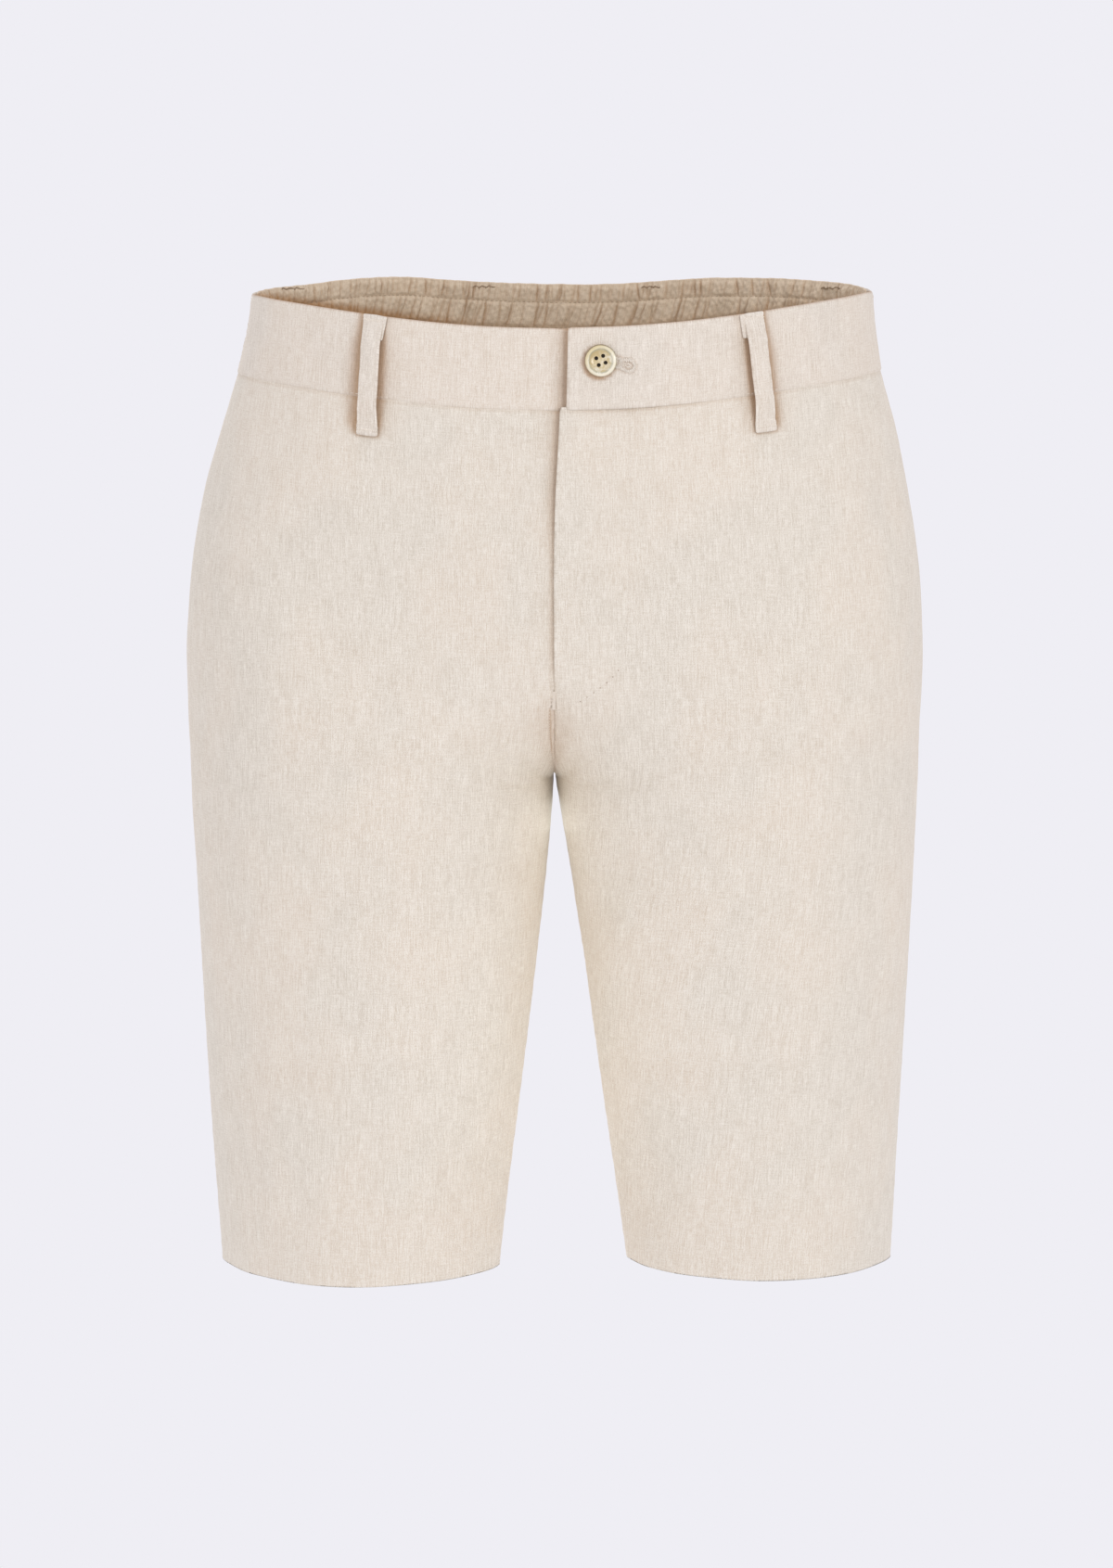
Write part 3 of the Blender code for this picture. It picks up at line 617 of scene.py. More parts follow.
# Slow unevenness of the hanging cloth: waves across and down, in mm, with their height
softWaves = (
    (97.0, 210.0, 0.34), (-61.0, 150.0, 0.24), (44.0, 95.0, 0.16), (150.0, -72.0, 0.20), (-38.0, 61.0, 0.10),
)
panelSpec = {
    "girth": 250.0, "step": 2.7, "closest": 0.42, "growth": 1.17, "forkRows": 45, "forkCrowding": 1.39,
    "tuckUp": 0.9,  # how far the top edge runs up under the waistband
    "wall": 1.2, "allowance": 0.7, "allowanceWidth": 10.0, "hemWall": 2.4, "hemDepth": 30.0, "wallFade": 1.5,
    "seamInset": 0.5, "seamDip": 0.75, "seamDipWidth": 2.4, "pucker": 0.16, "puckerReach": 6.0, "calm": 30.0,
    "bandDip": 0.25, "bandDipWidth": 3.0,
    # the cloth fills out again close above the fork: how much, how wide, and where it starts and ends
    "forkClose": 1.25, "forkWidth": 14.0, "forkFill": (0.3, 3.2, 12.0, 50.0),
    # where the straight grain lies at the band and at the hem, and how it leans further down
    "grainTop": 98.0, "grainHem": 106.0,
    "lean": {left: 0.0, right: 0.10}, "leanFrom": 170.0, "leanFade": 160.0,
    "flyLift": 1.9, "flyWidth": 42.0, "flyBottom": -198.0, "flyRunOut": 22.0, "flyClear": 0.15,
    "underFly": 9.0, "underFlyEnd": -205.5, "underFlyFade": 8.0, "underDrop": 0.1,
    "trough": 1.8, "troughWidth": 5.5, "highRow": -140.0, "highFade": 70.0, "lowShare": 0.25,
    # below the fly: how far the second line lies from the seam, its ends, the ridge and the groove along it
    "tackedSeam": 1.8, "tackedEnd": -235.0, "tackedFrom": -246.0, "tackedFade": 6.0,
    "ridge": 0.22, "ridgeWidth": 0.9, "line": 0.38, "lineWidth": 0.5,
}
# How much painted shade lies on a panel along the band, the seams, the fork, the lap's edge and the second
# line
panelShades = {
    "band": 0.30, "seam": 0.42, "fork": 0.30, "forkWidth": 9.0, "forkRows": (-268.0, 30.0, -190.0, 26.0),
    "lap": 0.36, "lapWidths": (0.8, 3.2), "lapEnd": -199.0, "soft": 0.34, "softReach": 4.0, "line": 0.80,
    # how far off each seam its shade lies, and how wide it is
    "bandAt": (-0.3, 0.6), "sideAt": (0.4, 0.7), "backAt": (0.5, 0.7), "frontAt": (0.0, 0.45),
    "lineWidth": 0.42,
}


def creaseDepth(side, half, arc, row):
    total = np.zeros(arc.shape)
    for values in creases:
        crease = dict(zip(creaseColumns, values))
        if (crease["side"], crease["half"]) != (side, half):
            continue
        ends = []
        for x, z in ((crease["x1"], crease["z1"]), (crease["x2"], crease["z2"])):
            share, at = placeAt(side, half, x, z)
            ends.append(np.array([share * float(girthAt(side, half, z)), at]))
        start, run = ends[0], ends[1] - ends[0]
        length = np.linalg.norm(run)
        run = run / length
        along = ((arc - start[0]) * run[0] + (row - start[1]) * run[1]) / length
        t = np.clip(along, 0, 1)
        off = (arc - start[0]) * -run[1] + (row - start[1]) * run[0]
        off = off - crease["bow"] * 4 * t * (1 - t) - creaseSpec["waver"] * np.sin(9.0 * t + crease["x1"])
        narrow, wide = creaseSpec["widths"]
        width = crease["width"] * (narrow + (wide - narrow) * t)
        fade = np.where((along > 0) & (along < 1), np.sin(np.pi * t) ** creaseSpec["fade"], 0.0)
        rolls = sum(high * bump(off - beside * width, thick * width)
                    for beside, thick, high in creaseSpec["rolls"])
        total += crease["depth"] * fade * (rolls - bump(off, width))
    return total


def softness(side, half, arc, row):
    total = np.zeros(arc.shape)
    for k, (across, down, size) in enumerate(softWaves):
        phase = 1.7 * k + 2.3 * side + 1.1 * half
        total += size * np.sin(2 * np.pi * (arc / across + row / down) + phase + 0.7 * np.sin(row / 37.0 + k))
    return total


def pucker(distance, row, seed):
    # Short uneven waves down a seam, dying away from it
    wave = np.sin(row / 1.55 + 1.4 * np.sin(row / 7.3 + seed) + seed) + 0.5 * np.sin(row / 3.4 + 2 * seed)
    return wave * np.exp(-distance / panelSpec["puckerReach"])


def closeToEnds(length, step, closest, growth=1.3):
    # Distances along a length, closer together near both ends
    growing = [0.0]
    gap = closest
    while gap < step:
        growing.append(growing[-1] + gap)
        gap *= growth
    growing = np.array(growing)
    count = max(2, int(round((length - 2 * growing[-1]) / step)))
    middle = np.linspace(growing[-1], length - growing[-1], count + 1)
    return np.concatenate([growing[:-1], middle, (length - growing[:-1])[::-1]])


def panelRows(half):
    spec = panelSpec
    rise = form["forkRiseFront"] if half == front else form["forkRiseBack"]
    above = bandSeam - closeToEnds(bandSeam - (crotch + rise), spec["step"], 0.8)
    fork = crotch + rise * np.linspace(1, 0, spec["forkRows"] + 1)[1:] ** spec["forkCrowding"]
    below = crotch - closeToEnds(crotch - hem, spec["step"], 0.7)
    rows = np.concatenate([above, fork[:-1], below])
    rows[0] += spec["tuckUp"]
    rows[-1] += spec["hemWall"] / 2
    return rows


def flyLift(distance, row):
    across = 1 - ease(distance / panelSpec["flyWidth"])
    return panelSpec["flyLift"] * across * ease((row - panelSpec["flyBottom"]) / panelSpec["flyRunOut"])


def grainLine(side, half, rows):
    # How far round the panel its straight grain lies in each row
    spec = panelSpec
    shares = np.linspace(0.0, 1.0, 121)
    found = []
    for row in rows:
        down = (bandSeam - row) / (bandSeam - hem)
        x = side * (spec["grainTop"] + (spec["grainHem"] - spec["grainTop"]) * down)
        across = side * skinPoint(side, half, shares, np.full(shares.shape, row))[:, 0]
        turn = int(np.argmin(across))  # past the fork, where the inner leg turns back
        share = np.array([np.interp(side * x, across[turn:], shares[turn:])])
        found.append(float(wovenAt(side, half, share, np.array([row]))[0]))
    return np.array(found)


# The fly's stitching: down beside the lap, round a J to the bar tack
flyPath = smoothPath([placeAt(right, front, x, z) for x, z in flySpec["path"]], 160)


def stitchGroove(arc, row):
    # The cloth dips along the fly's stitching, more round the J
    lineArc = flyPath[:, 0] * girthAt(right, front, flyPath[:, 1])
    nearest = np.full(arc.shape, 99.0)
    for a, r in zip(lineArc, flyPath[:, 1]):
        nearest = np.minimum(nearest, np.hypot(arc - a, row - r))
    curved = 1 - ease((row - flySpec["curveTop"]) / flySpec["curveFade"])
    return (flySpec["groove"] + flySpec["curveGroove"] * curved) * bump(nearest, flySpec["grooveWidth"])


def panelLift(side, half, arc, row, girth, inFly, seamed, highUp, tacked):
    # How far the cloth stands off the form, in mm
    spec = panelSpec
    toSide, toMiddle = girth - arc, np.abs(arc)
    lift = softness(side, half, arc, row) * ease(np.minimum(toMiddle, toSide) / spec["calm"])
    lift = lift * ease((row[0, 0] - row) / spec["calm"]) + creaseDepth(side, half, arc, row)
    low, rise, high, fall = spec["forkFill"]
    fork = ease((row - crotch - low) / rise) * (1 - ease((row - crotch - high) / fall))
    dips = bump(toSide, spec["seamDipWidth"]) + bump(toMiddle, spec["seamDipWidth"]) * seamed * (1 - fork)
    lift = lift - spec["seamDip"] * dips + spec["forkClose"] * fork * bump(toMiddle, spec["forkWidth"])
    puckers = pucker(toSide, row, 0.4 * side + half) + pucker(toMiddle, row, 2.0 + side) * seamed
    lift = lift + spec["pucker"] * puckers - spec["bandDip"] * bump(row - bandSeam, spec["bandDipWidth"])
    if (side, half) == (right, front):
        lift = lift + flyLift(toMiddle, row) - stitchGroove(arc, row)
    if (side, half) == (left, front):
        lift = lift - spec["trough"] * bump(arc - 0.5, spec["troughWidth"]) * inFly * highUp
        ridge = spec["ridge"] * bump(arc - 1.0, spec["ridgeWidth"])
        lift = lift + tacked * (ridge - spec["line"] * bump(arc - spec["tackedSeam"], spec["lineWidth"]))
        lift = lift - (spec["flyLift"] * (1 - inFly) + spec["underDrop"]) * (arc < 0)
    return lift


def panelShade(side, half, arc, row, girth, inFly, highUp, tacked):
    spec = panelShades
    toSide, toMiddle = girth - arc, np.abs(arc)
    off, width = spec["bandAt"]
    shade = spec["band"] * bump(row - bandSeam - off, width)
    shade = shade + spec["fork"] * bump(arc, spec["forkWidth"]) * within(row, *spec["forkRows"])
    off, width = spec[halfName(half) + "At"]
    middle = bump(toMiddle - off, width) * (1 - inFly if half == front else 1.0)
    off, width = spec["sideAt"]
    shade = shade + spec["seam"] * (bump(toSide - off, width) + middle)
    if (side, half) == (left, front):
        beside = np.maximum(arc - 0.4, 0.0)
        narrow, wide = spec["lapWidths"]
        besideLap = spec["lap"] * bump(beside, narrow + (wide - narrow) * highUp)
        besideLap = besideLap + spec["soft"] * highUp * np.exp(-beside / spec["softReach"])
        shade = shade + inFly * besideLap * ease((row - spec["lapEnd"]) / 2.0)
        lined = tacked * within(row, panelSpec["tackedEnd"], 8.0, panelSpec["underFlyEnd"], 2.0)
        shade = shade + spec["line"] * bump(arc - panelSpec["tackedSeam"], spec["lineWidth"]) * lined
    return np.clip(shade + loopShade(side, half, arc, row, girth), 0.0, 1.0)


def legPanel(side, half):
    spec = panelSpec
    rows = panelRows(half)[:, None]
    girth = girthAt(side, half, rows)
    columns = closeToEnds(spec["girth"], spec["step"], spec["closest"], spec["growth"])[None, :]
    start = np.full(rows.shape, spec["seamInset"])
    inFly = ease((rows - spec["flyBottom"]) / spec["flyRunOut"])
    if (side, half) == (left, front):
        under = ease((rows - spec["underFlyEnd"]) / spec["underFlyFade"])
        start = start - (spec["underFly"] + spec["seamInset"]) * under
    if (side, half) == (right, front):
        start = start + spec["flyClear"] * inFly
    arc = start + columns / spec["girth"] * (girth - spec["seamInset"] - start)
    share = arc / girth
    row = np.broadcast_to(rows, arc.shape)
    seamed = 1 - inFly if half == front else 1.0  # where the middle is sewn shut
    highUp = spec["lowShare"] + (1 - spec["lowShare"]) * ease((row - spec["highRow"]) / spec["highFade"])
    tacked = (1 - inFly) * ease((row - spec["tackedFrom"]) / spec["tackedFade"])
    lift = panelLift(side, half, arc, row, girth, inFly, seamed, highUp, tacked)
    shade = panelShade(side, half, arc, row, girth, inFly, highUp, tacked)
    toSeam = np.minimum(girth - arc, np.abs(arc))
    wall = spec["wall"] + spec["allowance"] * (1 - ease((toSeam - spec["allowanceWidth"]) / spec["wallFade"]))
    folded = 1 - ease((row - hem - spec["hemDepth"]) / spec["wallFade"])
    wall = np.maximum(wall, spec["wall"] + (spec["hemWall"] - spec["wall"]) * folded)
    down = bandSeam - rows
    grain = grainLine(side, half, rows[:, 0])[:, None]  # the weave runs straight down the middle of each leg
    lean = spec["lean"][side] * ease((down - spec["leanFrom"]) / spec["leanFade"])
    across = side * (wovenAt(side, half, share, row) - grain) + lean * (down - spec["leanFrom"])
    weave = np.stack([across, np.broadcast_to(-down, arc.shape)], axis=-1)
    name = f"{halfName(half)}_{sideName(side)}"
    points, normals = skinPoint(side, half, share, row), skinNormal(side, half, share, row)
    made = clothPiece(name + "_cloth", points, normals, lift, lift - wall, weave, [linenCloth], (shade, 0.0))
    return hand(made, "leg_cloth", name)


panels = {}
for half in (front, back):
    for side in (left, right):
        panels[side, half] = legPanel(side, half)
print("leg panels made")

buttonSpec = {
    "x": 21.5, "z": -32.8, "radius": 8.0, "depth": 3.0, "sides": 96, "off": 0.3,
    # the turned outline, as shares of the radius and of the depth
    "profile": (
        (0.0, 0.0), (0.80, 0.0), (0.90, 0.07), (0.96, 0.24), (1.00, 0.48), (0.985, 0.70), (0.93, 0.90),
        (0.87, 0.985), (0.82, 1.00), (0.77, 0.97), (0.72, 0.86), (0.67, 0.73), (0.60, 0.65), (0.45, 0.59),
        (0.25, 0.57), (0.0, 0.56),
    ),
    "holes": 4, "holeRing": 2.5, "holeTurn": 19.5, "holeRadius": 0.8, "holeSides": 24,
    "holeProfile": ((-0.25, 0.30), (0.0, 1.45), (0.14, 1.66), (0.5, 2.2)),  # how much wider at each height
    "sharpAngle": 38.0,
}
# The buttonhole is a keyhole in satin stitch, most of it under the button, with an eye worked inside it
holeSpec = {
    "start": (23.5, -32.2), "end": (35.2, -35.2), "stitch": 2.5,
    "slit": 0.7, "eye": 1.7, "reach": 3.3, "gap": 0.25,
    "eyeSlit": 0.55, "eyeRadius": 0.95, "eyeReach": 1.4, "eyeGap": 0.16, "eyeTurn": 125.0,
}

# Waistband, front: two pieces that lap at the fly
bandSpec = {
    "proud": 0.6, "wall": 2.4, "lapEnd": 5.2, "underlapEnd": 34.0, "lift": 2.7, "flat": 33.0, "fade": 50.0,
    "length": 190.0, "sideInset": 0.5, "step": 1.5, "closest": 0.4, "pucker": 0.08,
    # each dip's depth, how far it lies from its edge (the trough: its x), and its width
    "edgeDip": (0.35, -1.0, 2.2), "seamDip": (0.2, 1.0, 1.8), "sideDip": (0.4, 0.0, 2.2),
    "lapDip": (0.30, 0.0, 1.8), "trough": (2.3, 4.2, 4.6),
    # the cloth is drawn in beside the button: how much, its row and height, its x and width
    "buttonPull": (0.25, -20.0, 3.0, 52.0, 16.0),
    # how a crease leans, about which row, how far it runs on above its top, and its fade
    "creaseLean": 0.08, "creaseMiddle": -20.0, "creaseOver": 12.0, "creaseFade": 14.0,
    "lapShade": 0.46, "lapReach": (2.2, 4.4), "softShade": 0.42, "softReach": 3.5, "rimShade": 2.0,
    "buttonShade": 0.95, "buttonShadeWidth": 1.4, "buttonShadeOff": 0.9, "buttonShadeIn": 0.3,
    "holeShade": 0.40, "holeShadeOut": 0.6,
}
frontBandWaves = ((71.0, 160.0, 0.22), (-43.0, 90.0, 0.13), (27.0, 70.0, 0.07))
# side, x, from and to which row, width and depth
bandCreases = (
    (left, -123.6, -8.0, -36.0, 6.0, 0.30), (left, -60.0, -12.0, -50.0, 8.0, 0.22),
    (right, 55.2, -14.0, -52.0, 6.0, 0.35), (right, 78.0, -12.0, -50.0, 8.0, 0.22),
    (right, 140.0, -4.0, -40.0, 9.0, 0.30),
)


def bandLift(x):
    return bandSpec["lift"] * (1 - ease((x - bandSpec["lapEnd"] - bandSpec["flat"]) / bandSpec["fade"]))


def dip(measures, distance):
    depth, middle, width = measures
    return depth * bump(distance - middle, width)


def frontBandLift(side, points, arc, row, girth, startArc):
    spec = bandSpec
    x, toSide = points[..., 0], girth - arc
    lift = np.full(arc.shape, spec["proud"])
    for k, (across, down, size) in enumerate(frontBandWaves):
        lift = lift + size * np.sin(2 * np.pi * (arc / across + row / down) + 1.3 * k + side)
    for creaseSide, creaseX, high, low, width, depth in bandCreases:
        if creaseSide == side:
            at = placeAt(side, front, creaseX, 0.5 * (high + low))[0] * girth
            fade = within(row, low, spec["creaseFade"], high + spec["creaseOver"], spec["creaseFade"])
            leaned = arc - at - spec["creaseLean"] * (row - spec["creaseMiddle"])
            lift = lift - depth * bump(leaned, width) * fade
    lift = lift - dip(spec["edgeDip"], row - bandTop) - dip(spec["seamDip"], row - bandSeam)
    if side == right:
        lift = lift + bandLift(x) - dip(spec["lapDip"], arc - startArc)
        pull, height, tall, middle, wide = spec["buttonPull"]
        lift = lift - pull * bump(row - height, tall) * bump(x - middle, wide)
    else:
        lift = lift - dip(spec["trough"], x)
    return lift - dip(spec["sideDip"], toSide) + spec["pucker"] * pucker(toSide, row, 1.0 + side)


def frontBandShade(side, points, arc, row, girth):
    spec = bandSpec
    x, z = points[..., 0], points[..., 2]
    shade = loopShade(side, front, arc, row, girth)
    # Painted shade on the left: the lap's shadow beside its end, wider towards the seam
    if side == left:  # beside the lap's end, wider towards the seam
        beside = np.maximum(spec["lapEnd"] - x, 0.0)
        high, low = spec["lapReach"]
        reach = high + (low - high) * (bandTop - row) / (bandTop - bandSeam)
        shade = shade + spec["lapShade"] * bump(beside, reach)
        shade = shade + spec["softShade"] * np.exp(-beside / spec["softReach"])
    # Painted shade on the right: the button's shadow, low on its left, and shade under the buttonhole's
    # stitches
    else:  # the button's own shade, low on its left, and the sunken cloth in the buttonhole
        shift = spec["buttonShadeOff"]
        off = np.hypot(x - buttonSpec["x"] + shift, z - buttonSpec["z"] + shift)
        off = (off - buttonSpec["radius"] + spec["buttonShadeIn"]) / spec["buttonShadeWidth"]
        shade = shade + spec["buttonShade"] * (1 - ease(off))
        start, end = (np.array(holeSpec[k]) for k in ("start", "end"))
        run, place = end - start, points[..., ::2]
        at = np.clip(((place - start) @ run) / (run @ run), 0, 1)[..., None]
        off = np.linalg.norm(place - start - at * run, axis=-1)
        shade = shade + spec["holeShade"] * (1 - ease(off - holeSpec["stitch"] - spec["holeShadeOut"]))
    return np.clip(shade, 0, 1)


def frontBand(name, side, startX):
    spec = bandSpec
    inset = spec["wall"] / 2
    down = closeToEnds(bandTop - bandSeam - 2 * inset, spec["step"], spec["closest"])
    rows = (bandTop - inset - down)[:, None]
    girth = girthAt(side, front, rows)
    middleHeight = float(rowHeight(right, front, np.array(0.05), np.array((bandTop + bandSeam) / 2)))
    startShare = placeAt(right, front, startX, middleHeight)[0]
    startArc = side * startShare * girth + inset
    columns = closeToEnds(spec["length"], spec["step"], spec["closest"])[None, :] / spec["length"]
    arc = startArc + columns * (girth - spec["sideInset"] - startArc)
    share = arc / girth
    row = np.broadcast_to(rows, arc.shape)
    points, normals = skinPoint(side, front, share, row), skinNormal(side, front, share, row)
    lift = frontBandLift(side, points, arc, row, girth, startArc)
    # Painted shade: the outer face takes the shade worked out above, the inner face a brown line of painted
    # shade along its top rim, which shows across the rounded edge
    shades = (frontBandShade(side, points, arc, row, girth), spec["rimShade"] * bump(row - bandTop, 2.5))
    weave = np.stack([arc * side, row], axis=-1)
    finishes = [bandLinen, facingCloth]
    made = clothPiece(name + "_cloth", points, normals, lift, lift - spec["wall"], weave, finishes, shades)
    return hand(made, "band_cloth", name)


bandLeft = frontBand("waistband_front_left", left, bandSpec["underlapEnd"])
bandRight = frontBand("waistband_front_right", right, bandSpec["lapEnd"])

# Waistband, back: gathered on elastic, with stitched channels
gatherSpec = {
    "gathers": 38, "drift": ((0.42, 2.3, 0.8), (0.26, 5.9, 2.1)), "waveHeight": 0.45, "fade": 0.03,
    # the lower line of stitching climbs towards the right: by how much, from where and over how much
    "channel": -9.4, "lowChannel": -22.5, "lowRise": 6.0, "lowClimb": (0.25, 0.4),
    "pinch": 0.75, "pinchWidth": 0.85, "rowStep": 0.75, "crinkle": 0.20, "trim": 0.5, "blend": 3.0,
    "spacing": (3.2, 3.8, 4.2),
    "smallFolds": {"lean": (-0.16, 0.16), "width": (0.4, 0.8), "strength": (0.2, 0.75)},
    "edgeDrop": 3.4, "edgeShade": 0.95, "edgeWidth": 5.5, "edgeKeptRight": 0.35, "edgeChange": (0.1, 0.4),
    "endFade": 6.0, "facingShade": 0.7, "stripShade": 0.6,
    "length": 390.0,  # about, for the number of columns
    # the cloth is calmer along its top rim and its seam: how much, how far off and how wide
    "rimCalm": (0.7, -0.6, 1.4), "seamCalm": (0.6, 0.0, 5.0),
    # a fold's reach to both sides, its depth from end to end, and how far it runs past its strip
    "foldReach": 22.0, "archStart": 0.10, "archSpan": 0.80, "archPower": 0.6, "overrun": 0.02,
    "weaveRound": 1.35,  # the weave runs on round the gathers
    "fullness": 1.3,  # how much longer the strip was cut than it is when gathered
}
# Folds that run the whole width of a strip: how far across in mm, from and to which strip edge, lean, width
deepFolds = (
    (-79.2, 0, 1, 0.10, 0.55), (-68.8, 0, 1, -0.06, 0.50), (-64.4, 1, 2, 0.12, 0.60),
    (-55.0, 0, 2, 0.02, 0.55), (-51.5, 0, 1, -0.10, 0.50), (-44.6, 1, 2, 0.16, 0.60),
    (-29.7, 1, 2, -0.04, 0.50), (-18.3, 0, 1, 0.14, 0.60), (-15.8, 1, 2, 0.06, 0.50),
    (-12.9, 0, 1, 0.05, 0.50), (-10.9, 1, 2, 0.10, 0.55), (-5.0, 0, 1, 0.0, 0.45),
    (4.0, 0, 1, 0.10, 0.50), (10.9, 0, 1, 0.06, 0.55), (18.8, 1, 2, -0.05, 0.50), (27.2, 1, 2, 0.03, 0.65),
    (35.7, 0, 1, 0.30, 0.55), (38.1, 1, 2, -0.06, 0.50), (61.4, 0, 2, 0.04, 0.60), (67.4, 0, 1, 0.22, 0.60),
    (70.8, 0, 1, 0.20, 0.60), (72.3, 1, 2, 0.0, 0.60), (91.1, 0, 1, 0.30, 0.55), (100.0, 0, 1, 0.34, 0.50),
    (110.0, 0, 1, 0.36, 0.55), (112.4, 1, 2, 0.20, 0.50),
)
# The outer strip and the one inside it, which puffs inwards
backStrips = {
    "waistband_back": {
        "slot": "band_cloth", "finish": bandLinen, "seed": 11, "topDrop": 0.7, "low": bandSeam + 0.2,
        "setIn": 0.3, "wall": 1.8, "step": 0.7, "puff": 0.9, "inward": False,
    },
    "waistband_back_facing": {
        "slot": "facing_cloth", "finish": facingCloth, "seed": 29, "topDrop": 0.0, "low": bandSeam - 1.0,
        "setIn": 2.9, "wall": 0.8, "step": 0.5, "puff": 1.9, "inward": True,
    },
}


def gatherWave(u):
    drift = sum(size * np.sin(2 * np.pi * waves * u + start) for size, waves, start in gatherSpec["drift"])
    fade = gatherSpec["fade"]
    return within(u, 0, fade, 1, fade) * np.sin(2 * np.pi * (gatherSpec["gathers"] * u + drift))


def channelRow(signed, low):
    if not low:
        return np.full(np.shape(signed), gatherSpec["channel"])
    starts, fade = gatherSpec["lowClimb"]
    return gatherSpec["lowChannel"] + gatherSpec["lowRise"] * ease((signed - starts) / fade)


def foldList(seed, length, middle, deep):
    # Folds as (place, strip, to strip, lean, width, strength): the deep ones, then small ones between
    draw = np.random.default_rng(seed)
    small = gatherSpec["smallFolds"]
    folds = []
    if deep:
        folds = [(middle + x, top, bottom, lean, 1.1 * width, 1.0)
                 for x, top, bottom, lean, width in deepFolds]
    for strip, spacing in enumerate(gatherSpec["spacing"]):
        place = draw.uniform(3.0, 6.0)
        while place < length - 3.0:
            strength = draw.uniform(*small["strength"]) * (1.0 if deep else 1.3)
            lean, width = draw.uniform(*small["lean"]), draw.uniform(*small["width"])
            folds.append((place, strip, strip + 1, lean, width, strength))
            place += spacing * draw.uniform(0.4, 1.7)
    return folds


def gatherPuff(along, row, signed, folds):
    # 1 where the cloth puffs out fully, 0 at the bottom of a fold
    spec = gatherSpec
    edges = [np.zeros(signed.shape), channelRow(signed, False), channelRow(signed, True),
             np.full(signed.shape, bandSeam)]
    valley = np.zeros(along.shape)
    for place, top, bottom, lean, width, strength in folds:
        near = np.abs(along[0] - place) < spec["foldReach"]
        high, low, down = edges[top][:, near], edges[bottom][:, near], row[:, near]
        t = (high - down) / (high - low)
        arch = np.sin(np.pi * np.clip(spec["archStart"] + spec["archSpan"] * t, 0, 1))
        arch = np.clip(arch, 0, 1) ** spec["archPower"]
        fade = np.where((t > -spec["overrun"]) & (t < 1 + spec["overrun"]), arch, 0.0)
        wander = 0.18 * np.sin(0.45 * down + place) + 0.10 * np.sin(1.3 * down + 2.1 * place)
        off = along[:, near] - place - lean * (high - down) - wander
        valley[:, near] = np.maximum(valley[:, near], strength * fade * bump(off, width))
    return 1 - valley


def crinkles(along, row):
    # Slack cloth between the gathers: slow swells and fine crinkles, as a share of the full puff
    slack = 0.72 + 0.20 * np.sin(along / 7.3 + 0.25 * row) + 0.14 * np.sin(along / 3.1 - 0.31 * row + 2.0)
    down = np.sin(row / 0.55 + 1.7 * np.sin(along / 1.9))
    across = np.sin(along / 0.75 + 1.2 * np.sin(row / 1.7))
    return slack + gatherSpec["crinkle"] * down * across


